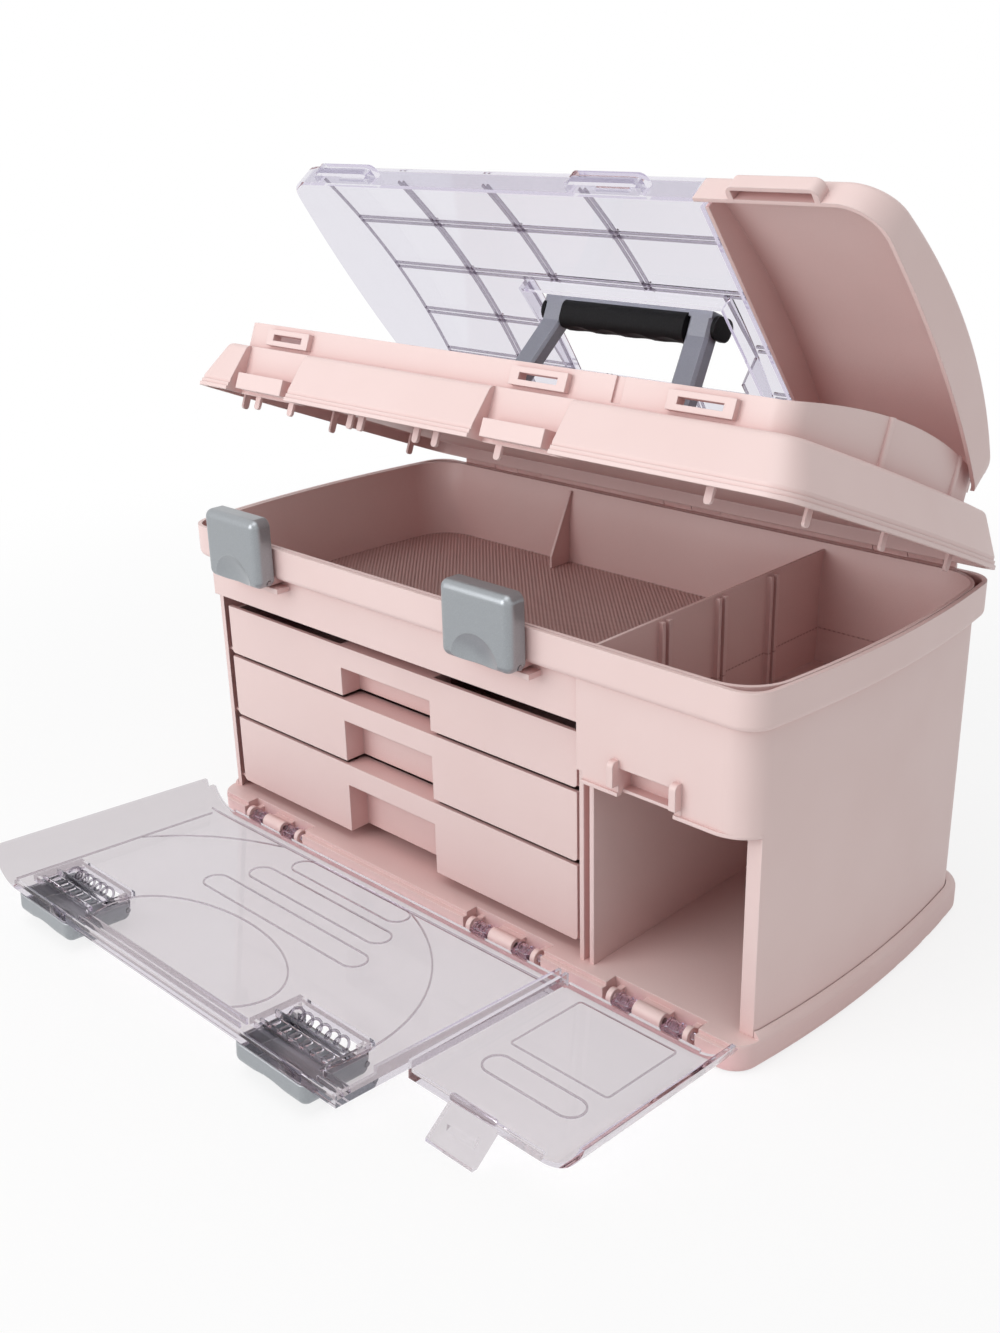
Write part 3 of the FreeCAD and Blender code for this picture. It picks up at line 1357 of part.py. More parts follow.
def coverSolid(name, corner, away, bottom):
    """The arched form of both covers, drawn in by a distance."""
    prism = bowed(name + "Prism", f"coverHalf-{away}", f"coverFront-{away}", f"coverBack-{away}",
                  (bottom, "coverTop+coverIn"), f"{corner}-{away}")
    arch = rodX(name + "Arch", f"coverRadius-{away}", ("-rimHalf", "rimHalf"), "coverMiddle",
                "coverTop-coverRadius")
    return rounded(name, common(name + "Sharp", prism, arch), f"coverRound-{away}",
                   lambda edge: box(edge).ZMin > num("coverBottom+coverIn") and not upright(edge))


def coverHalfShell(name, corner, x, flangeX):
    outer = coverSolid(name + "Outer", corner, "0", "coverBottom")
    inner = coverSolid(name + "Inner", corner, "coverSheet", "coverBottom-past")
    keep = block(name + "Keep", x, ("-rimFront", "rimFront"), ("coverBottom-past*2", "coverTop*2"))
    rear = block(name + "Rear", ("-rimHalf", "rimHalf"), ("rearCut", "rimFront"),
                 ("coverBottom-past", "rearBottom"))
    flangeBox = block(name + "FlangeBox", flangeX,
                      ("wall+armClear-trayFront", "trayBack-wall-armClear"),
                      ("flangeBottom", "coverTop*2"))
    flange = common(name + "Flange",
                    coverSolid(name + "FlangeForm", corner, "coverSheet/2", "coverBottom"), flangeBox)
    return fuse(name + "Half", cut(name + "Shell", common(name + "Form", outer, keep), inner, rear),
                flange)


def coverKnuckles(names):
    parts = []
    for name in names:
        span = lugSpans(coverHinges[name], 3)[1]
        parts.append(rodX("CoverKnuckle" + name, "coverKnuckle", span, "coverAxisY", "coverAxisZ"))
    return parts


def coverClips(names):
    """Finger lips on the front edge, each with a nib behind it for a catch."""
    parts = []
    for name in names:
        x = catches[name]
        lip = block("Clip" + name, (f"{x}-clipWidth/2", f"{x}+clipWidth/2"),
                    ("-coverFront-clipDepth", "coverSheet/2-coverFront"),
                    ("coverBottom", "coverBottom+clipTall"))
        soft = rounded("ClipSoft" + name, lip, "clipTall*clipBend",
                       lambda e: along(2)(e) and box(e).YMax < num("-coverFront"))
        room = block("ClipRoom" + name, (f"{x}-clipWidth/2+coverIn", f"{x}+clipWidth/2-coverIn"),
                     ("coverSheet-coverFront-clipDepth", "-coverFront"),
                     ("coverBottom-past", "coverBottom+clipTall-coverSheet"))
        nib = block("ClipNib" + name, (f"{x}-catchWidth/2+nibIn", f"{x}+catchWidth/2-nibIn"),
                    ("coverSheet/2-coverFront", "coverSheet+nibReach-coverFront"),
                    ("(catchBottom+catchTop)/2-nibHalf", "(catchBottom+catchTop)/2+nibHalf"))
        parts += [cut("ClipLip" + name, soft, room), nib]
    return parts


def clearCover():
    half = coverHalfShell("Clear", "coverCorner", ("-rimHalf", "coverSplit-coverGap/2"),
                          ("coverSplit-coverGap/2-coverSheet", "coverSplit-coverGap/2"))
    y, z = ("-cutFront", "cutBack"), ("coverTop-cutSkirt-coverIn", "coverTop*2")
    ringOuter = block("CutRing", ("-cutHalf-coverSheet", "cutHalf+coverSheet"),
                      ("-cutFront-coverSheet", "cutBack+coverSheet"), z)
    ring = common("CutSkirt", coverSolid("CutForm", "coverCorner", "0", "coverBottom"), ringOuter)
    hole = block("CutHole", ("-cutHalf", "cutHalf"), y, ("coverBottom-past", "coverTop*2"))
    body = cut("ClearBody",
               fuse("ClearRinged", half, ring,
                    *(coverKnuckles(["Left", "Mid"]) + coverClips(["Left", "Mid"]))), hole,
               *coverBores(["Left", "Mid"]))
    node("clear_cover", body, coverTurn, lidTurn)


def pinkCover():
    half = coverHalfShell("Pink", "pinkCorner", ("coverSplit+coverGap/2", "rimHalf"),
                          ("coverSplit+coverGap/2", "coverSplit+coverGap/2+coverSheet"))
    body = cut("PinkBody", fuse("PinkWhole", half, *(coverKnuckles(["Right"]) + coverClips(["Right"]))),
               *coverBores(["Right"]))
    node("pink_cover", body, coverTurn, lidTurn)


def coverBores(names):
    """Pin bores, and room in a cover's back edge for the lugs beside its knuckle."""
    tools = []
    for name in names:
        x = coverHinges[name]
        span = (f"({x})-knuckleLength*2", f"({x})+knuckleLength*2")
        tools.append(rodX(f"KnuckleBoreCover{name}", "coverPin+fitGap", span, "coverAxisY",
                          "coverAxisZ"))
        for side, lug in (("A", lugSpans(x, 3)[0]), ("B", lugSpans(x, 3)[2])):
            tools.append(block(f"LugRoomCover{name}{side}", (f"{lug[0]}-lugSide", f"{lug[1]}+lugSide"),
                               ("coverAxisY-coverKnuckle-past", "rimFront"),
                               ("coverBottom-past", "coverTop*2")))
    return tools


def coverPins():
    for name, x in coverHinges.items():
        pin = rodX("CoverPin" + name, "coverPin",
                   (f"({x})-knuckleLength*1.5", f"({x})+knuckleLength*1.5"), "coverAxisY", "coverAxisZ")
        node(f"cover_hinge_pin_{name.lower()}", pin, lidTurn)


# ---- handle -----------------------------------------------------------------------------------

def handleArm():
    """The right arm: a straight leg that leans in and back, then turns upright."""
    foot = (num("armFootHalf"), num("handleAxisY"), num("handleAxisZ"))
    top, bend, front = num("armTopHalf"), num("bendZ"), num("barFront")
    wide, deep = num("armWidth"), num("armDepth")
    def section(outer, y, z):
        points = [(outer - wide, y, z), (outer, y, z), (outer, y + deep, z),
                  (outer - wide, y + deep, z)]
        return Part.makePolygon([FreeCAD.Vector(*p) for p in points + points[:1]])
    leg = Part.makeLoft([section(foot[0], foot[1] - deep / 2, foot[2]), section(top, front, bend)],
                        True, True)
    head = Part.makeBox(wide, deep, num("barTop") - bend, FreeCAD.Vector(top - wide, front, bend))
    arm = doc.addObject("Part::Feature", "HandleArm")
    whole = leg.fuse(head).removeSplitter()
    corners = [edge for edge in whole.Edges if box(edge).ZLength > num("headTall") - tiny]
    arm.Shape = whole.makeChamfer(num("armChamfer"), corners)
    eye = rodX("HandleEye", "armDepth/2", ("armFootHalf-armWidth", "armFootHalf"), "handleAxisY",
               "handleAxisZ")
    return fuse("HandleArmWhole", arm, eye)


def handle():
    arm = handleArm()
    other = mirrored("HandleArmLeft", arm)
    bar = block("HandleBar", ("-armTopHalf", "armTopHalf"), ("barFront", "barFront+armDepth/2"),
                ("barTop-barThick", "barTop"))
    spine = block("HandleSpine", ("-armTopHalf", "armTopHalf"),
                  ("barFront+spineIn", "barFront+armDepth-spineBack"),
                  ("barTop-spineIn-spineTall", "barTop-spineIn"))
    bores = rodX("HandleEyeBore", "handlePin+fitGap", ("-armFootHalf-past", "armFootHalf+past"),
                 "handleAxisY", "handleAxisZ")
    node("handle_frame", cut("HandleFrame", fuse("HandleWhole", arm, other, bar, spine), bores),
         lidTurn)
    grip(bar, spine)
    for side, x in (("left", "-armFootHalf-wall*3"), ("right", "armFootHalf-armWidth-armClear")):
        pin = rodX("HandlePin" + side.title(), "handlePin", (x, f"{x}+armWidth+armClear+wall*3"),
                   "handleAxisY", "handleAxisZ")
        node("handle_pin_" + side, pin, lidTurn)


def grip(bar, spine):
    """A rubber sleeve round the bar, with shallow finger hollows underneath."""
    middle = "barFront+armDepth/2+gripBack"
    bottom = "barTop-gripDown-gripTall"
    sleeve = block("GripBlock", ("-gripHalf", "gripHalf"),
                   (f"{middle}-gripDeep/2", f"{middle}+gripDeep/2"),
                   (bottom, f"{bottom}+gripTall"))
    soft = rounded("GripSoft", sleeve, "gripRound", along(0))
    hollows = []
    for i in range(4):
        x = f"fingerPitch*{i}-fingerPitch*1.5"
        hollows.append(rod(f"Finger{i}", yAxis, "fingerRadius",
                           (x, "-rimFront", f"{bottom}-fingerRadius+fingerDepth"), "rimFront*2"))
    core = fuse("GripCore", doc.copyObject(bar), doc.copyObject(spine))
    node("handle_grip", cut("Grip", soft, core, *hollows), lidTurn)
    for side, x in (("left", "-armTopHalf-capThick"), ("right", "armTopHalf")):
        cap = block("Cap" + side.title(), (x, f"{x}+capThick"), ("barFront+past", "barFront+gripDeep"),
                    ("bendZ+capClear", "barTop-gripDown"))
        node("grip_end_" + side, rounded("GripEnd" + side.title(), cap, "gripRound", along(0)), lidTurn)


def build():
    basePlinth()
    cabinetShell()
    lidHingePins()
    storageBin()
    drawers()
    drawerDoor()
    sideDoor()
    for name, x in (("Left", "-leftLatch"), ("Right", "rightLatch")):
        lidLatch(name, x)
    for name, x in (("Left", "-leftLever"), ("Right", "rightLever")):
        doorLatch(name, x)
    lidBase()
    clearCover()
    pinkCover()
    coverPins()
    handle()


def check():
    """Stop on any failed feature, and on a sub-part that isn't made of sound solids."""
    doc.recompute()
    for item in doc.Objects:
        if {"Invalid", "Error"} & set(item.State):
            raise RuntimeError(f"{item.Name} failed: {item.State}")
    for name, item in nodes.items():
        shape = item.Shape
        if shape.isNull() or not shape.isValid() or not shape.Solids:
            raise RuntimeError(f"{name} is not a valid solid")
        print(name, len(shape.Solids), round(shape.Volume))


build()
check()
os.makedirs("parts", exist_ok=True)
for name, item in nodes.items():
    item.Shape.exportStep(f"parts/{name}.step")
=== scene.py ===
import math

import bpy
import bmesh
from mathutils import Matrix, Vector


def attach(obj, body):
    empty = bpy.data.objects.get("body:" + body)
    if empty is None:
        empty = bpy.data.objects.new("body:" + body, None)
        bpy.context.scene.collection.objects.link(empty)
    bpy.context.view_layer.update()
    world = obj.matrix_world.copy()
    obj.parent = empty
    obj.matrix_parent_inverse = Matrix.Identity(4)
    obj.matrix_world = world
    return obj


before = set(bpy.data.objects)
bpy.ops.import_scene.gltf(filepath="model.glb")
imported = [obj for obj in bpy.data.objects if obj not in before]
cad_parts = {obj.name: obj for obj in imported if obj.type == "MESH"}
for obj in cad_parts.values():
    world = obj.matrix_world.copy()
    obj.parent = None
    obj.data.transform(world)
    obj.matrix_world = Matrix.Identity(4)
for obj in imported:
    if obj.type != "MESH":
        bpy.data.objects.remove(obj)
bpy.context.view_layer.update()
mm = 0.001
print("frame loaded")


def linear(colour):
    channels = [int(colour[i:i + 2], 16) / 255 for i in (1, 3, 5)]
    return [c / 12.92 if c <= 0.04045 else ((c + 0.055) / 1.055) ** 2.4 for c in channels] + [1.0]


def addNode(tree, kind, inputs=None, **settings):
    node = tree.nodes.new("ShaderNode" + kind)
    for name, value in settings.items():
        setattr(node, name, value)
    for name, value in (inputs or {}).items():
        if isinstance(value, bpy.types.NodeSocket):
            tree.links.new(value, node.inputs[name])
        else:
            node.inputs[name].default_value = value
    return node


def newMaterial(name):
    material = bpy.data.materials.new(name)
    material.use_nodes = True
    material.node_tree.nodes.clear()
    return material, material.node_tree


# the camera stands off the case's front right corner, a little above its open covers
cameraSetup = {
    "place": (0.5427, -0.6008, 0.4553),
    "azimuth": 44.7,
    "elevation": 21.88,
    "roll": -1.49,
    "lens": 39.25,
    "sensor": 36.0,
}


def makeCamera():
    data = bpy.data.cameras.new("camera")
    data.lens = cameraSetup["lens"]
    data.sensor_width = cameraSetup["sensor"]
    camera = bpy.data.objects.new("camera", data)
    bpy.context.collection.objects.link(camera)
    turn = math.radians(cameraSetup["azimuth"])
    tilt = math.radians(cameraSetup["elevation"])
    back = Vector((math.sin(turn) * math.cos(tilt), -math.cos(turn) * math.cos(tilt), math.sin(tilt)))
    level = (-back).to_track_quat("-Z", "Y").to_matrix().to_4x4()
    roll = Matrix.Rotation(math.radians(cameraSetup["roll"]), 4, "Z")
    camera.matrix_world = Matrix.Translation(cameraSetup["place"]) @ level @ roll
    bpy.context.scene.camera = camera


# white paper sweep and three large soft boxes
studio = {
    "paper": "#F4F4F4",
    "paperGlow": (0.8, 1.0),    # share of plain white near the case, and far from it
    "glowReach": (0.35, 1.1),
    "sky": 0.48,
    "floorSize": 30.0,
    "boxes": {
        "keyBox": ((-0.8, -2.1, 1.05), 1.6, 28.0),
        "fillBox": ((1.9, -0.7, 1.2), 1.4, 1.0),
        "topBox": ((0.2, -0.6, 2.5), 1.8, 18.0),
    },
    "aim": (0.0, 0.0, 0.15),
}


def seenWhite(tree):
    path = addNode(tree, "LightPath")
    first = addNode(tree, "Math", {0: path.outputs["Is Camera Ray"], 1: path.outputs["Is Glossy Ray"]},
                    operation="MAXIMUM")
    return addNode(tree, "Math", {0: first.outputs[0], 1: path.outputs["Is Transmission Ray"]},
                   operation="MAXIMUM").outputs[0]


def makeStudio():
    paper, tree = newMaterial("white_paper")
    sheet = addNode(tree, "BsdfDiffuse", {"Color": linear(studio["paper"])})
    glow = addNode(tree, "Emission", {"Color": (1, 1, 1, 1), "Strength": 1.0})
    away = addNode(tree, "VectorMath", {0: addNode(tree, "TexCoord").outputs["Object"]}, operation="LENGTH")
    near, far = studio["glowReach"]
    dim, full = studio["paperGlow"]
    fade = addNode(tree, "MapRange", {"Value": away.outputs["Value"], "From Min": near, "From Max": far,
                                      "To Min": dim, "To Max": full}, interpolation_type="SMOOTHSTEP")
    share = addNode(tree, "Math", {0: seenWhite(tree), 1: fade.outputs[0]}, operation="MULTIPLY")
    mix = addNode(tree, "MixShader", {0: share.outputs[0], 1: sheet.outputs[0], 2: glow.outputs[0]})
    addNode(tree, "OutputMaterial", {"Surface": mix.outputs[0]})
    shape = bmesh.new()
    bmesh.ops.create_grid(shape, x_segments=1, y_segments=1, size=studio["floorSize"] / 2)
    mesh = bpy.data.meshes.new("floor")
    shape.to_mesh(mesh)
    shape.free()
    floor = bpy.data.objects.new("floor", mesh)
    floor.data.materials.append(paper)
    bpy.context.collection.objects.link(floor)

    world = bpy.data.worlds.new("studio")
    bpy.context.scene.world = world
    world.use_nodes = True
    tree = world.node_tree
    tree.nodes.clear()
    light = addNode(tree, "Background", {"Color": (1, 1, 1, 1), "Strength": studio["sky"]})
    white = addNode(tree, "Background", {"Color": (1, 1, 1, 1), "Strength": 1.0})
    mix = addNode(tree, "MixShader", {0: seenWhite(tree), 1: light.outputs[0], 2: white.outputs[0]})
    addNode(tree, "OutputWorld", {"Surface": mix.outputs[0]})

    for name, (place, size, power) in studio["boxes"].items():
        lamp = bpy.data.lights.new(name, "AREA")
        lamp.size = size
        lamp.energy = power
        box = bpy.data.objects.new(name, lamp)
        bpy.context.collection.objects.link(box)
        aim = Vector(studio["aim"]) - Vector(place)
        box.matrix_world = Matrix.Translation(place) @ aim.to_track_quat("-Z", "Y").to_matrix().to_4x4()


makeCamera()
makeStudio()
bpy.context.scene.view_settings.view_transform = "Standard"
print("camera and studio ready")


# moulded polypropylene: an even satin skin, a very fine spark-eroded grain, and soft edges with a painted
# highlight along them
pinkPolypropylene = {
    "colour": "#E8D1CE",
    "cloud": "#E0C6C2",
    "deep": "#D6B0AD",      # painted shade: this redder, darker colour is blended in where ambient occlusion finds a spot sheltered, standing in for light that has crossed several pink walls
    "paintedShadeReach": 80.0,
    "paintedShadeRange": (0.85, 0.35),      # how open a spot is where the painted shade starts, and where it is full
    # painted highlight: the lighter colour along edges, and its largest share
    "edge": "#F3E2DF",
    "edgeHighlightMost": 0.55,
    "roughness": 0.44,
    "sheenSpread": (-0.05, 0.06),
    "grain": 0.9,       # mm between grains, drawn coarser than the real 0.1 mm so that it shows
    "grainHeight": 0.012,
    "grainStrength": 0.6,
    "cloudSize": 70.0,
    "edgeRound": 0.7,
    "ior": 1.49,
}


# the bin's floor is etched with a fine basket pattern in a darker tone, with painted shade deepest in its
# hollows
binWeave = {
    "pitch": 3.2,
    "depth": 0.3,
    "colour": "#A9807C",
    "level": 153.5,         # the floor's height, and how far from it the pattern fades out
    "fade": 0.6,
    "toneAndHollowShade": (0.85, 0.25),   # share of the darker colour: in the hollows, where most of it is painted shade, and on the knots
}


def makeWeave(tree, place):
    spot = addNode(tree, "SeparateXYZ", {0: place})
    turns = [addNode(tree, "Math", {0: spot.outputs[i], 1: 2 * math.pi / (binWeave["pitch"] * mm)},
                     operation="MULTIPLY").outputs[0] for i in (0, 1)]
    waves = [addNode(tree, "Math", {0: turn}, operation="SINE").outputs[0] for turn in turns]
    knots = addNode(tree, "Math", {0: waves[0], 1: waves[1]}, operation="MULTIPLY")
    above = addNode(tree, "Math", {0: spot.outputs[2], 1: binWeave["level"] * mm}, operation="SUBTRACT")
    away = addNode(tree, "Math", {0: above.outputs[0]}, operation="ABSOLUTE")
    onFloor = addNode(tree, "MapRange", {"Value": away.outputs[0], "From Min": binWeave["fade"] * 0.5 * mm,
                                         "From Max": binWeave["fade"] * mm, "To Min": 1.0, "To Max": 0.0})
    height = addNode(tree, "Math", {0: knots.outputs[0], 1: onFloor.outputs[0]}, operation="MULTIPLY")
    hollow, knot = binWeave["toneAndHollowShade"]
    dark = addNode(tree, "MapRange", {"Value": knots.outputs[0], "From Min": -1.0,
                                      "To Min": hollow, "To Max": knot})
    share = addNode(tree, "Math", {0: dark.outputs[0], 1: onFloor.outputs[0]}, operation="MULTIPLY")
    return height.outputs[0], share.outputs[0]


# a rounded normal, and a share that is 0 on flats and rises where the surface turns over an edge; the share
# paints a highlight there
def roundedNormalAndHighlight(tree, radius, most):
    rounded = addNode(tree, "Bevel", {"Radius": radius * mm}, samples=4)
    flat = addNode(tree, "NewGeometry")
    turn = addNode(tree, "VectorMath", {0: rounded.outputs[0], 1: flat.outputs["Normal"]},
                   operation="DOT_PRODUCT")
    share = addNode(tree, "MapRange", {"Value": turn.outputs["Value"], "From Min": 1.0, "From Max": 0.8,
                                       "To Min": 0.0, "To Max": most})
    return rounded.outputs[0], share.outputs[0]


# one colour over another by share
def blend(tree, share, first, second):
    return addNode(tree, "Mix", {0: share, 6: first, 7: second}, data_type="RGBA").outputs[2]


def makePink(name, woven=False):
    finish = pinkPolypropylene
    material, tree = newMaterial(name)
    place = addNode(tree, "TexCoord").outputs["Object"]
    clouds = addNode(tree, "TexNoise", {"Vector": place, "Scale": 1 / (finish["cloudSize"] * mm),
                                        "Detail": 3.0})
    body = blend(tree, clouds.outputs[0], linear(finish["colour"]), linear(finish["cloud"]))
    # painted shade: ambient occlusion turns sheltered spots towards the redder, darker colour
    shelter = addNode(tree, "AmbientOcclusion", {"Distance": finish["paintedShadeReach"] * mm}, samples=6)
    starts, full = finish["paintedShadeRange"]
    shut = addNode(tree, "MapRange", {"Value": shelter.outputs["AO"], "From Min": starts, "From Max": full,
                                      "To Min": 0.0, "To Max": 1.0})
    body = blend(tree, shut.outputs[0], body, linear(finish["deep"]))
    surface, edge = roundedNormalAndHighlight(tree, finish["edgeRound"], finish["edgeHighlightMost"])
    # painted highlight: a lighter colour blended in along edges
    colour = blend(tree, edge, body, linear(finish["edge"]))
    if woven:
        height, share = makeWeave(tree, place)
        # the weave's darker tone, with painted shade in its hollows
        colour = blend(tree, share, colour, linear(binWeave["colour"]))
        surface = addNode(tree, "Bump", {"Height": height, "Distance": binWeave["depth"] * mm,
                                         "Normal": surface}).outputs[0]
    grain = addNode(tree, "TexNoise", {"Vector": place, "Scale": 1 / (finish["grain"] * mm), "Detail": 1.0})
    bump = addNode(tree, "Bump", {"Height": grain.outputs[0], "Distance": finish["grainHeight"] * mm,
                                  "Strength": finish["grainStrength"], "Normal": surface})
    smoother, rougher = finish["sheenSpread"]
    sheen = addNode(tree, "MapRange", {"Value": clouds.outputs[0], "To Min": finish["roughness"] + smoother,
                                       "To Max": finish["roughness"] + rougher})
    skin = addNode(tree, "BsdfPrincipled", {"Base Color": colour, "Roughness": sheen.outputs[0],
                                            "IOR": finish["ior"], "Normal": bump.outputs[0]})
    addNode(tree, "OutputMaterial", {"Surface": skin.outputs[0]})
    return material


# clear styrene, moulded in a polished tool: faint lavender, mirror-like skin with slow ripples
clearStyrene = {
    "tint": "#E7E5EC",
    "thick": "#D8D3D6",     # the doors are a little thicker and greyer than the cover
    "paintedShadeClear": "#B9B4BC",     # springs and ribs: a darker copy of the clear styrene, painted shade for the darker look that light crossing more than one wall gives them
    "shadow": "#F4F2F7",
    "roughness": 0.03,
    "hazeSpread": (0.6, 1.8),
    "ior": 1.17,        # below the real 1.59, because thin walls would otherwise turn black at their edges
    "layers": 6.5,      # a ray that has crossed more walls than this, or echoed off more, goes straight on
    "echoes": 1.5,
    "ripple": 24.0,
    "rippleHeight": 0.02,
}


def makeClear(name, tint=clearStyrene["tint"]):
    finish = clearStyrene
    material, tree = newMaterial(name)
    place = addNode(tree, "TexCoord").outputs["Object"]
    ripple = addNode(tree, "TexNoise", {"Vector": place, "Scale": 1 / (finish["ripple"] * mm), "Detail": 2.0})
    least, most = finish["hazeSpread"]
    haze = addNode(tree, "MapRange", {"Value": ripple.outputs[0], "To Min": finish["roughness"] * least,
                                      "To Max": finish["roughness"] * most})
    bump = addNode(tree, "Bump", {"Height": ripple.outputs[0], "Distance": finish["rippleHeight"] * mm})
    glass = addNode(tree, "BsdfPrincipled", {
        "Base Color": linear(tint), "Transmission Weight": 1.0, "Roughness": haze.outputs[0],
        "IOR": finish["ior"], "Normal": bump.outputs[0]})
    through = addNode(tree, "BsdfTransparent", {"Color": linear(finish["shadow"])})
    path = addNode(tree, "LightPath")
    deep = addNode(tree, "Math", {0: path.outputs["Transmission Depth"], 1: finish["layers"]},
                   operation="GREATER_THAN")
    trapped = addNode(tree, "Math", {0: path.outputs["Glossy Depth"], 1: finish["echoes"]},
                      operation="GREATER_THAN")
    worn = addNode(tree, "Math", {0: deep.outputs[0], 1: trapped.outputs[0]}, operation="MAXIMUM")
    plain = addNode(tree, "Math", {0: path.outputs["Is Shadow Ray"], 1: worn.outputs[0]}, operation="MAXIMUM")
    mix = addNode(tree, "MixShader", {0: plain.outputs[0], 1: glass.outputs[0], 2: through.outputs[0]})
    addNode(tree, "OutputMaterial", {"Surface": mix.outputs[0]})
    return material


# moulded ABS under silver paint: fine metal flake, satin, brighter where edges catch the light
silverAbs = {"colour": "#909498", "flake": "#B0B4B8", "flakeSize": 0.35, "flakeHeight": 0.004,
             "edge": "#E6E9EC", "edgeRound": 0.9, "metallic": 0.6, "roughness": 0.3}
# the handle's grey glass-filled nylon: cooler, darker and duller than the latches
greyNylon = {"colour": "#7C7F88", "flake": "#8E9099", "flakeSize": 0.6, "flakeHeight": 0.004,
             "edge": "#B4B7C0", "edgeRound": 0.8, "metallic": 0.2, "roughness": 0.42}
# the edge share paints a highlight along the latches' and handle's edges
satinShares = {"flake": 0.7, "edge": 0.7, "bump": 0.5}


def makeSatin(name, finish):
    material, tree = newMaterial(name)
    place = addNode(tree, "TexCoord").outputs["Object"]
    flakes = addNode(tree, "TexVoronoi", {"Vector": place, "Scale": 1 / (finish["flakeSize"] * mm)})
    spread = addNode(tree, "MapRange", {"Value": flakes.outputs["Distance"], "To Min": 0.0,
                                        "To Max": satinShares["flake"]})
    body = blend(tree, spread.outputs[0], linear(finish["colour"]), linear(finish["flake"]))
    surface, edge = roundedNormalAndHighlight(tree, finish["edgeRound"], satinShares["edge"])
    # painted highlight: a lighter colour blended in along edges
    colour = blend(tree, edge, body, linear(finish["edge"]))
    bump = addNode(tree, "Bump", {"Height": flakes.outputs["Distance"], "Strength": satinShares["bump"],
                                  "Distance": finish["flakeHeight"] * mm, "Normal": surface})
    skin = addNode(tree, "BsdfPrincipled", {
        "Base Color": colour, "Metallic": finish["metallic"], "Roughness": finish["roughness"],
        "Normal": bump.outputs[0]})
    addNode(tree, "OutputMaterial", {"Surface": skin.outputs[0]})
    return material


# moulded thermoplastic rubber: nearly black, dull, with a fine leathery pebble
blackRubber = {"colour": "#09090A", "worn": "#151517", "roughness": 0.68, "gloss": 0.2, "pebble": 1.3,
               "pebbleHeight": 0.05, "pebbleStrength": 0.5}


def makeRubber(name):
    finish = blackRubber
    material, tree = newMaterial(name)
    place = addNode(tree, "TexCoord").outputs["Object"]
    pebble = addNode(tree, "TexVoronoi", {"Vector": place, "Scale": 1 / (finish["pebble"] * mm)})
    colour = blend(tree, pebble.outputs["Distance"], linear(finish["colour"]), linear(finish["worn"]))
    bump = addNode(tree, "Bump", {"Height": pebble.outputs["Distance"], "Strength": finish["pebbleStrength"],
                                  "Distance": finish["pebbleHeight"] * mm})
    skin = addNode(tree, "BsdfPrincipled", {"Base Color": colour, "Roughness": finish["roughness"],
                                            "Specular IOR Level": finish["gloss"], "Normal": bump.outputs[0]})
    addNode(tree, "OutputMaterial", {"Surface": skin.outputs[0]})
    return material


# drawn steel wire: bright, with fine lines along the wire
steelWire = {"colour": "#A8A8AB", "dark": "#7C7C80", "roughness": 0.28, "line": 0.25, "lengthways": 2.0}


def makeSteel(name):
    finish = steelWire
    material, tree = newMaterial(name)
    place = addNode(tree, "TexCoord").outputs["Object"]
    fine = 1 / (finish["line"] * mm)
    across = addNode(tree, "Mapping", {"Vector": place, "Scale": (finish["lengthways"], fine, fine)})
    lines = addNode(tree, "TexNoise", {"Vector": across.outputs[0], "Scale": 1.0, "Detail": 2.0})
    colour = blend(tree, lines.outputs[0], linear(finish["colour"]), linear(finish["dark"]))
    skin = addNode(tree, "BsdfPrincipled", {"Base Color": colour, "Metallic": 1.0,
                                            "Roughness": finish["roughness"]})
    addNode(tree, "OutputMaterial", {"Surface": skin.outputs[0]})
    return material


pink = makePink("pink_polypropylene")
wovenPink = makePink("etched_polypropylene", woven=True)
clear = makeClear("clear_styrene")
thickClear = makeClear("thick_clear_styrene", clearStyrene["thick"])
# painted shade: a darker copy of the clear styrene for springs and ribs
paintedShadeClear = makeClear("painted_shade_styrene", clearStyrene["paintedShadeClear"])
silver = makeSatin("silver_painted_abs", silverAbs)
grey = makeSatin("grey_nylon", greyNylon)
rubber = makeRubber("black_rubber")
steel = makeSteel("steel_wire")

nodeFinish = {
    "base_plinth": pink, "cabinet_shell": pink, "lid_base": pink, "pink_cover": pink,
    "drawer_bottom": pink, "drawer_middle": pink, "drawer_top": pink, "storage_bin": wovenPink,
    "drawer_door": thickClear, "side_door": thickClear, "clear_cover": clear,
    "lid_latch_left": silver, "lid_latch_right": silver,
    "door_latch_left": silver, "door_latch_right": silver,
    "handle_frame": grey, "handle_grip": rubber, "grip_end_left": rubber, "grip_end_right": rubber,
}
for name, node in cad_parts.items():
    node.data.materials.clear()
    node.data.materials.append(nodeFinish.get(name, steel))
print("finishes on the frame")


# hinge lines in mm (y, z) and how far each part stands open; pieces are made shut and then turned
hingeLines = {
    "frontDoor": (-107.0, 11.0, 85.6),
    "sideDoor": (-107.0, 11.0, 86.6),
    "lid": (114.4, 206.4, -21.9),
    "cover": (98.7, 250.3, -30.0),
}


def pivot(name):
    y, z, degrees = hingeLines[name]
    centre = Matrix.Translation((0, y, z))
    return centre @ Matrix.Rotation(math.radians(degrees), 4, "X") @ centre.inverted()


# a door's own plane: x, distance from the hinge line, and height inwards from it
hingeY, hingeZ, _ = hingeLines["frontDoor"]
doorPlane = Matrix(((1, 0, 0, 0), (0, 0, 1, hingeY), (0, 1, 0, hingeZ), (0, 0, 0, 1)))
frontDoorTurn = pivot("frontDoor") @ doorPlane
sideDoorTurn = pivot("sideDoor") @ doorPlane
lidTurn = pivot("lid")
coverTurn = lidTurn @ pivot("cover")


# how every new piece is built: share of a bead that is rounded, weld distance in mm, and sharp angle
making = {"beadSoft": 0.3, "blockSoft": 0.3, "weld": 0.002, "sharp": 35}


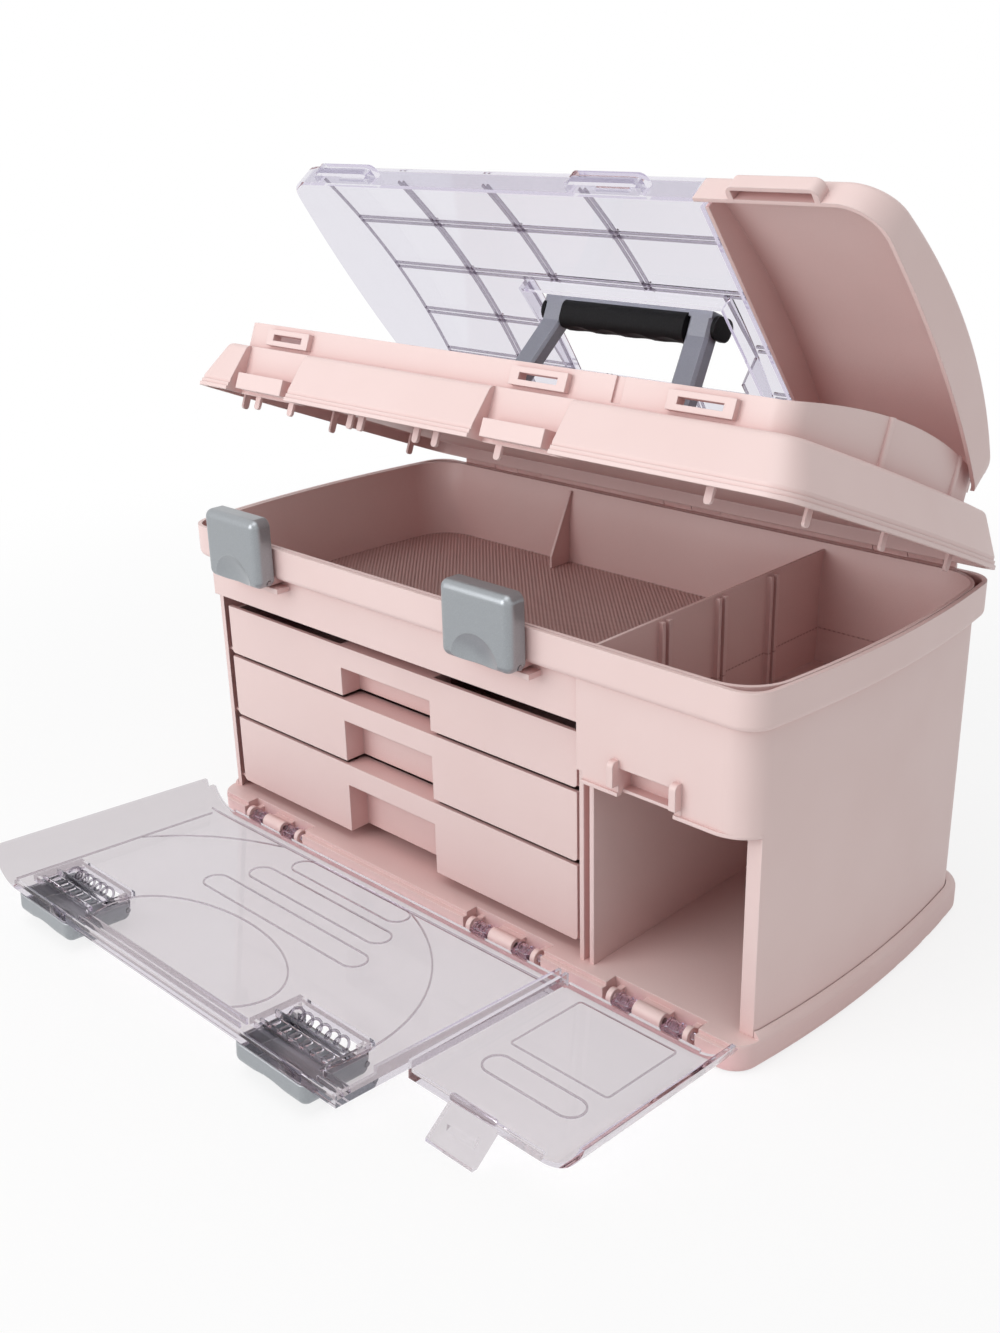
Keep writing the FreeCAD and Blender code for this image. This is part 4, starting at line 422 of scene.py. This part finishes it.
def softEdges(shape, edges, size, steps=2):
    bmesh.ops.bevel(shape, geom=edges, offset=size, offset_type="OFFSET", segments=steps, profile=0.5,
                    affect="EDGES", material=-1)


def edgesOf(verts):
    return list({edge for vert in verts for edge in vert.link_edges})


def addBlock(shape, x, y, z, soft=0.0, turn=None):
    made = bmesh.ops.create_cube(shape, size=1.0)["verts"]
    bmesh.ops.scale(shape, vec=(x[1] - x[0], y[1] - y[0], z[1] - z[0]), verts=made)
    bmesh.ops.translate(shape, vec=((x[0] + x[1]) / 2, (y[0] + y[1]) / 2, (z[0] + z[1]) / 2), verts=made)
    if turn:
        bmesh.ops.transform(shape, matrix=turn, verts=made)
    if soft:
        softEdges(shape, edgesOf(made), soft)


# a circle drawn out into an ellipse, a slot end or a rectangle with round corners
def addOutline(shape, centre, half, spread, segments=64):
    made = bmesh.ops.create_circle(shape, cap_ends=False, segments=segments, radius=1.0)["verts"]
    bmesh.ops.rotate(shape, verts=made, cent=(0, 0, 0), matrix=Matrix.Rotation(math.pi / segments, 3, "Z"))
    bmesh.ops.scale(shape, vec=(half[0], half[1], 1), verts=made)
    for axis in (0, 1):
        for side in (-1, 1):
            step = [0, 0, 0]
            step[axis] = side * spread[axis]
            bmesh.ops.translate(shape, vec=step, verts=[vert for vert in made if vert.co[axis] * side > 0])
    bmesh.ops.translate(shape, vec=centre, verts=made)
    return made


def cutPast(shape, place, away, drop=True):
    everything = shape.verts[:] + shape.edges[:] + shape.faces[:]
    bmesh.ops.bisect_plane(shape, geom=everything, plane_co=place, plane_no=away, clear_outer=drop)


def closeHoles(shape):
    bmesh.ops.holes_fill(shape, edges=[edge for edge in shape.edges if len(edge.link_faces) == 1])


def addRing(shape, centre, half, width, rise, spread=(0, 0), segments=64, cutAbove=None):
    rims = [addOutline(shape, centre, (half[0] + away, half[1] + away), spread, segments)
            for away in (-width / 2, width / 2)]
    flat = bmesh.ops.bridge_loops(shape, edges=edgesOf(rims[0] + rims[1]))["faces"]
    raised = bmesh.ops.extrude_face_region(shape, geom=flat)["geom"]
    tops = [item for item in raised if isinstance(item, bmesh.types.BMVert)]
    bmesh.ops.translate(shape, vec=(0, 0, rise), verts=tops)
    ridge = [edge for edge in edgesOf(tops)
             if all(vert in tops for vert in edge.verts) and len(edge.link_faces) == 2
             and abs(edge.link_faces[0].normal.z - edge.link_faces[1].normal.z) > 0.5]
    softEdges(shape, ridge, min(width, rise) * making["beadSoft"], 1)
    if cutAbove:
        cutPast(shape, (0, cutAbove, 0), (0, 1, 0))
        closeHoles(shape)


def addCoil(shape, start, loops, pitch, radius, wire, steps=20):
    made = bmesh.ops.create_circle(shape, cap_ends=True, segments=8, radius=wire)["verts"]
    bmesh.ops.translate(shape, vec=(start[0], start[1] + radius, start[2]), verts=made)
    faces = list({face for vert in made for face in vert.link_faces})
    bmesh.ops.spin(shape, geom=made + edgesOf(made) + faces, cent=start, axis=(1, 0, 0),
                   dvec=(pitch / steps, 0, 0), angle=2 * math.pi * loops, steps=steps * loops,
                   use_duplicate=False)


def finishPiece(shape, name, material, body, turn=Matrix.Identity(4)):
    bmesh.ops.remove_doubles(shape, verts=shape.verts, dist=making["weld"])
    bmesh.ops.transform(shape, matrix=Matrix.Scale(mm, 4) @ turn, verts=shape.verts)
    bmesh.ops.recalc_face_normals(shape, faces=shape.faces)
    for face in shape.faces:
        face.smooth = True
    for edge in shape.edges:
        edge.smooth = edge.is_manifold and edge.calc_face_angle() < math.radians(making["sharp"])
    mesh = bpy.data.meshes.new(name)
    shape.to_mesh(mesh)
    shape.free()
    piece = bpy.data.objects.new(name, mesh)
    bpy.context.collection.objects.link(piece)
    mesh.materials.append(material)
    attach(piece, body)
    return piece


# beads moulded on the inner face of the drawers' door: three slots, a wide arc and a bare oval
doorBeads = {
    "face": -1.0,
    "width": 1.1,
    "rise": 0.8,
    "slots": ((-53, 74.2, 141), (-53, 48.1, 121), (-53, 24.1, 99)),   # centre x, distance out, length
    "slotTall": 16.0,
    "arc": ((-66, 128), (146, 122)),
    "oval": ((-62, 133), (72, 42)),
    "cutAt": 152.0,
    "ends": (-196.3, 97.0),     # the fold at the door's curved end, and its other end
    "hingeSide": 17.0,
}


def makeDoorBeads():
    look = doorBeads
    shape = bmesh.new()
    for x, out, length in look["slots"]:
        end = look["slotTall"] / 2
        addRing(shape, (x, out, look["face"]), (end, end), look["width"], look["rise"], (length / 2 - end, 0))
    finishPiece(shape, "door_slot_beads", thickClear, "front_door", frontDoorTurn)
    for name in ("arc", "oval"):
        centre, half = look[name]
        shape = bmesh.new()
        addRing(shape, (centre[0], centre[1], look["face"]), half, look["width"], look["rise"], segments=96,
                cutAbove=look["cutAt"])
        left, right = look["ends"]
        cutPast(shape, (left, 0, 0), (-1, 0, 0))
        cutPast(shape, (right, 0, 0), (1, 0, 0))
        cutPast(shape, (0, look["hingeSide"], 0), (0, -1, 0))
        closeHoles(shape)
        finishPiece(shape, "door_" + name + "_bead", thickClear, "front_door", frontDoorTurn)


# stiffening ribs along the door's free edge and hinge edge, and the fold line of its curved end
doorRibs = {
    "free": ((153.2, 154.6, 2.6), (157.6, 158.8, 1.6)),   # near, far, height
    "runs": ((-129.5, 22.0), (82.0, 100.2)),
    "hinge": (15.4, 16.6, 0.3),
    "hingeRun": (-203, 100),
    "fold": (-197.5, -196.3, 0.4),
    "foldRun": (20, 160),
    "face": -1.0,
}


def makeDoorRibs():
    look = doorRibs
    shape = bmesh.new()
    for near, far, rise in look["free"]:
        for run in look["runs"]:
            addBlock(shape, run, (near, far), (look["face"], rise), making["blockSoft"])
    near, far, rise = look["hinge"]
    addBlock(shape, look["hingeRun"], (near, far), (look["face"], rise), making["blockSoft"])
    left, right, rise = look["fold"]
    addBlock(shape, (left, right), look["foldRun"], (look["face"], rise), making["blockSoft"])
    finishPiece(shape, "door_ribs", thickClear, "front_door", frontDoorTurn)


# at each latch's window: a spring of clear loops, a bar, a slotted bridge, and a lip on the door's edge
latchCage = {
    "middles": {"left": -160.0, "right": 52.0},
    "loops": 6,
    "pitch": 7.0,
    "radius": 3.1,
    "wire": 0.75,
    "coilOut": 131.2,
    "coilLift": 0.9,
    "half": 26.6,
    "bar": (137.6, 139.4, -1.0, 3.0),
    "slotPitch": 8.4,
    "rib": 2.6,
    "slots": 6,
    "ribOut": (140.6, 147.4, -1.0, 1.4),
    "ledge": (1.4, 0.8),                   # width, and height above the ribs
    "lip": (9.0, 25.0, 163.2, 164.6, -3.0, 3.0),   # from, to, near, far, low, high
    "lipSoft": 0.4,
    "window": (7.0, 4.2, 0.2, 0.5),        # width, height, sunk, proud
    "windowSoft": 0.2,
}


def makeLatchCages():
    look = latchCage
    for side, middle in look["middles"].items():
        shape = bmesh.new()
        start = middle - look["loops"] * look["pitch"] / 2
        addCoil(shape, (start, look["coilOut"], look["coilLift"]), look["loops"], look["pitch"],
                look["radius"], look["wire"])
        finishPiece(shape, f"latch_spring_{side}", paintedShadeClear, "front_door", frontDoorTurn)
        shape = bmesh.new()
        across = (middle - look["half"], middle + look["half"])
        near, far, low, high = look["bar"]
        addBlock(shape, across, (near, far), (low, high), making["blockSoft"])
        near, far, low, high = look["ribOut"]
        wide, proud = look["ledge"]
        addBlock(shape, across, (far, far + wide), (low, high + proud), making["blockSoft"])
        for i in range(look["slots"]):
            x = middle + (i - (look["slots"] - 1) / 2) * look["slotPitch"]
            span = (x - look["rib"] / 2, x + look["rib"] / 2)
            addBlock(shape, span, (near, far), (low, high), making["blockSoft"])
        finishPiece(shape, f"latch_bridge_{side}", thickClear, "front_door", frontDoorTurn)
        shape = bmesh.new()
        left, right, near, far, low, high = look["lip"]
        addBlock(shape, (middle + left, middle + right), (near, far), (low, high), look["lipSoft"])
        wide, tall, sunk, proud = look["window"]
        x, level = middle + (left + right) / 2, (low + high) / 2
        addBlock(shape, (x - wide / 2, x + wide / 2), (far - sunk, far + proud),
                 (level - tall / 2, level + tall / 2), look["windowSoft"])
        finishPiece(shape, f"latch_lip_{side}", thickClear, "front_door", frontDoorTurn)


# the cubby's door: one slot, one square, and the rolled root of its snap tab
cubbyDoorBeads = {
    "face": -1.0,
    "width": 1.1,
    "rise": 0.8,
    "squareRise": 0.48,
    "slot": ((154, 86), 31.0, 8.0),
    "square": ((153.5, 42), (31.5, 26.5), 2.0),
    "roll": (133.6, 163.8, 120.6, 1.9),    # from, to, distance out, radius
    "rollRound": 0.9,
}


def makeCubbyDoorBeads():
    look = cubbyDoorBeads
    shape = bmesh.new()
    (x, out), length, end = look["slot"]
    addRing(shape, (x, out, look["face"]), (end, end), look["width"], look["rise"], (length - end, 0))
    (x, out), half, corner = look["square"]
    addRing(shape, (x, out, look["face"]), (corner, corner), look["width"], look["squareRise"],
            (half[0] - corner, half[1] - corner))
    finishPiece(shape, "cubby_door_beads", thickClear, "cubby_door", sideDoorTurn)
    shape = bmesh.new()
    left, right, out, radius = look["roll"]
    addBlock(shape, (left, right), (out - radius, out + radius), (look["face"], look["face"] + radius * 2),
             radius * look["rollRound"])
    finishPiece(shape, "snap_tab_root", thickClear, "cubby_door", sideDoorTurn)


# clear sleeves round each door's own hinge pin, between the base's lugs, with a rib round both ends
hingeSleeves = {
    "front_door": (-154.0, 52.0),
    "cubby_door": (156.0,),
    "away": (12.2, 20.2),
    "inner": 2.6,
    "sleeve": 3.5,
    "rib": 4.3,
    "ribWidth": 1.3,
    "gap": 0.1,
    "sides": 24,
}


def makeHingeSleeves():
    look = hingeSleeves
    near, far = look["away"]
    narrow, gap = look["ribWidth"], look["gap"]
    upright = Matrix(((0, 0, 1, 0), (1, 0, 0, hingeY), (0, 1, 0, hingeZ), (0, 0, 0, 1)))
    for body in ("front_door", "cubby_door"):
        shape = bmesh.new()
        for hinge in look[body]:
            for start in (hinge - far, hinge + near):
                end = start + far - near
                parts = ((start, start + narrow, look["rib"]),
                         (start + narrow + gap, end - narrow - gap, look["sleeve"]),
                         (end - narrow, end, look["rib"]))
                for low, high, outer in parts:
                    middle, wall = (look["inner"] + outer) / 2, outer - look["inner"]
                    addRing(shape, (0, 0, low), (middle, middle), wall, high - low, segments=look["sides"])
        finishPiece(shape, body + "_hinge_sleeves", clear, body, upright)


# ribs that divide the clear cover into panels, on its underside
coverGrid = {
    "arch": (5.0, 262.5, 487.0, 2.3),     # middle y, top z, radius, sheet
    "rib": (1.1, 1.3),                     # width, height
    "pair": 3.6,
    "lengthways": (                        # x, from, to, double
        (-190, -92, 86, False), (-121, -92, 86, True), (-52, -92, -12, True), (19, -92, -12, True),
        (-52, 68.5, 86, True), (19, 68.5, 86, True), (-77, -12, 68, False),
    ),
    "across": (                            # y, from, to
        (-56, -190, 102), (-14, -190, 102), (27, -190, -77), (27, 77, 102), (62, -190, -77), (62, 77, 102),
    ),
    "crossings": (
        (-121, -56), (-52, -56), (19, -56), (-121, -14), (-52, -14), (19, -14), (-121, 27), (-121, 62),
    ),
    "cross": 11.0,
    "sink": 0.3,            # how far ribs reach into the sheet, and how much lower the crossings are
    "crossLower": 0.4,
    "steps": 16,
}


def makeCoverGrid():
    look = coverGrid
    y0, top, radius, sheet = look["arch"]
    width, tall = look["rib"]
    roof = (top - sheet - tall, top - sheet + look["sink"])
    centre = (0, y0, top - radius)

    def onArch(y):
        angle = -math.asin((y - y0) / radius)
        hub = Matrix.Translation(centre)
        return hub @ Matrix.Rotation(angle, 4, "X") @ hub.inverted()

    shape = bmesh.new()
    for x, front, back, double in look["lengthways"]:
        for offset in ((-look["pair"] / 2, look["pair"] / 2) if double else (0,)):
            made = bmesh.ops.create_grid(shape, x_segments=1, y_segments=1, size=0.5)["verts"]
            bmesh.ops.scale(shape, vec=(width, roof[1] - roof[0], 1), verts=made)
            bmesh.ops.rotate(shape, verts=made, cent=(0, 0, 0), matrix=Matrix.Rotation(math.pi / 2, 3, "X"))
            bmesh.ops.translate(shape, vec=(x + offset, y0, (roof[0] + roof[1]) / 2), verts=made)
            bmesh.ops.transform(shape, matrix=onArch(front), verts=made)
            faces = list({face for vert in made for face in vert.link_faces})
            sweep = math.asin((back - y0) / radius) - math.asin((front - y0) / radius)
            bmesh.ops.spin(shape, geom=made + edgesOf(made) + faces, cent=centre, axis=(-1, 0, 0),
                           angle=sweep, steps=look["steps"], use_duplicate=False)
    finishPiece(shape, "cover_ribs_lengthways", paintedShadeClear, "clear_lid_cover", coverTurn)
    shape = bmesh.new()
    for y, left, right in look["across"]:
        for offset in (-look["pair"] / 2, look["pair"] / 2):
            addBlock(shape, (left, right), (y0 - width / 2, y0 + width / 2), roof, turn=onArch(y + offset))
    finishPiece(shape, "cover_ribs_across", paintedShadeClear, "clear_lid_cover", coverTurn)
    shape = bmesh.new()
    for x, y in look["crossings"]:
        for angle in (45, -45):
            turn = onArch(y) @ Matrix.Translation((x, y0, 0)) @ Matrix.Rotation(math.radians(angle), 4, "Z")
            addBlock(shape, (-look["cross"] / 2, look["cross"] / 2), (-width / 2, width / 2),
                     (roof[0] + look["crossLower"], roof[1]), turn=turn)
    finishPiece(shape, "cover_crossings", thickClear, "clear_lid_cover", coverTurn)


# a panel with a zigzag edge fills one end of the cover's cut-out, beside the handle
cutFiller = {
    "outline": ((73.4, -9.4), (69.2, -9.4), (71.9, 35), (56, 57), (56, 65.4), (73.4, 65.4)),
    "sheet": 1.8,
    "under": 0.2,          # how far the panel's top lies below the cover's
    "creases": (10, 24, 37, 50),
    "rib": (0.7, 2.4),     # half its width, height
    "ribUnder": 0.3,
    "ribSoft": 0.25,
    "sameRow": 0.001,
}


def makeCutFiller():
    look = cutFiller
    y0, top, radius, _ = coverGrid["arch"]

    def drop(y):
        return math.sqrt(radius ** 2 - (y - y0) ** 2) - radius

    shape = bmesh.new()
    corners = [shape.verts.new((x, y, top - look["sheet"])) for x, y in look["outline"]]
    base = shape.faces.new(corners)
    raised = bmesh.ops.extrude_face_region(shape, geom=[base])["geom"]
    tops = [item for item in raised if isinstance(item, bmesh.types.BMVert)]
    bmesh.ops.translate(shape, vec=(0, 0, look["sheet"] - look["under"]), verts=tops)
    for y in look["creases"]:
        cutPast(shape, (0, y, 0), (0, 1, 0), drop=False)
    for y in sorted({round(vert.co.y, 3) for vert in shape.verts}):
        row = [vert for vert in shape.verts if abs(vert.co.y - y) < look["sameRow"]]
        bmesh.ops.translate(shape, vec=(0, 0, drop(y)), verts=row)
    finishPiece(shape, "cover_cut_filler", clear, "clear_lid_cover", coverTurn)
    shape = bmesh.new()
    half, tall = look["rib"]
    zigzag = look["outline"][1:5]
    for (x1, y1), (x2, y2) in zip(zigzag, zigzag[1:]):
        length = math.hypot(x2 - x1, y2 - y1)
        angle = math.atan2(y2 - y1, x2 - x1)
        middle = (y1 + y2) / 2
        turn = Matrix.Translation(((x1 + x2) / 2, middle, drop(middle))) @ Matrix.Rotation(angle, 4, "Z")
        addBlock(shape, (-length / 2, length / 2), (-half, half), (top - tall, top - look["ribUnder"]),
                 look["ribSoft"], turn)
    finishPiece(shape, "cover_cut_rib", paintedShadeClear, "clear_lid_cover", coverTurn)


makeDoorBeads()
makeDoorRibs()
makeLatchCages()
makeCubbyDoorBeads()
makeHingeSleeves()
makeCoverGrid()
makeCutFiller()
print("clear details made")
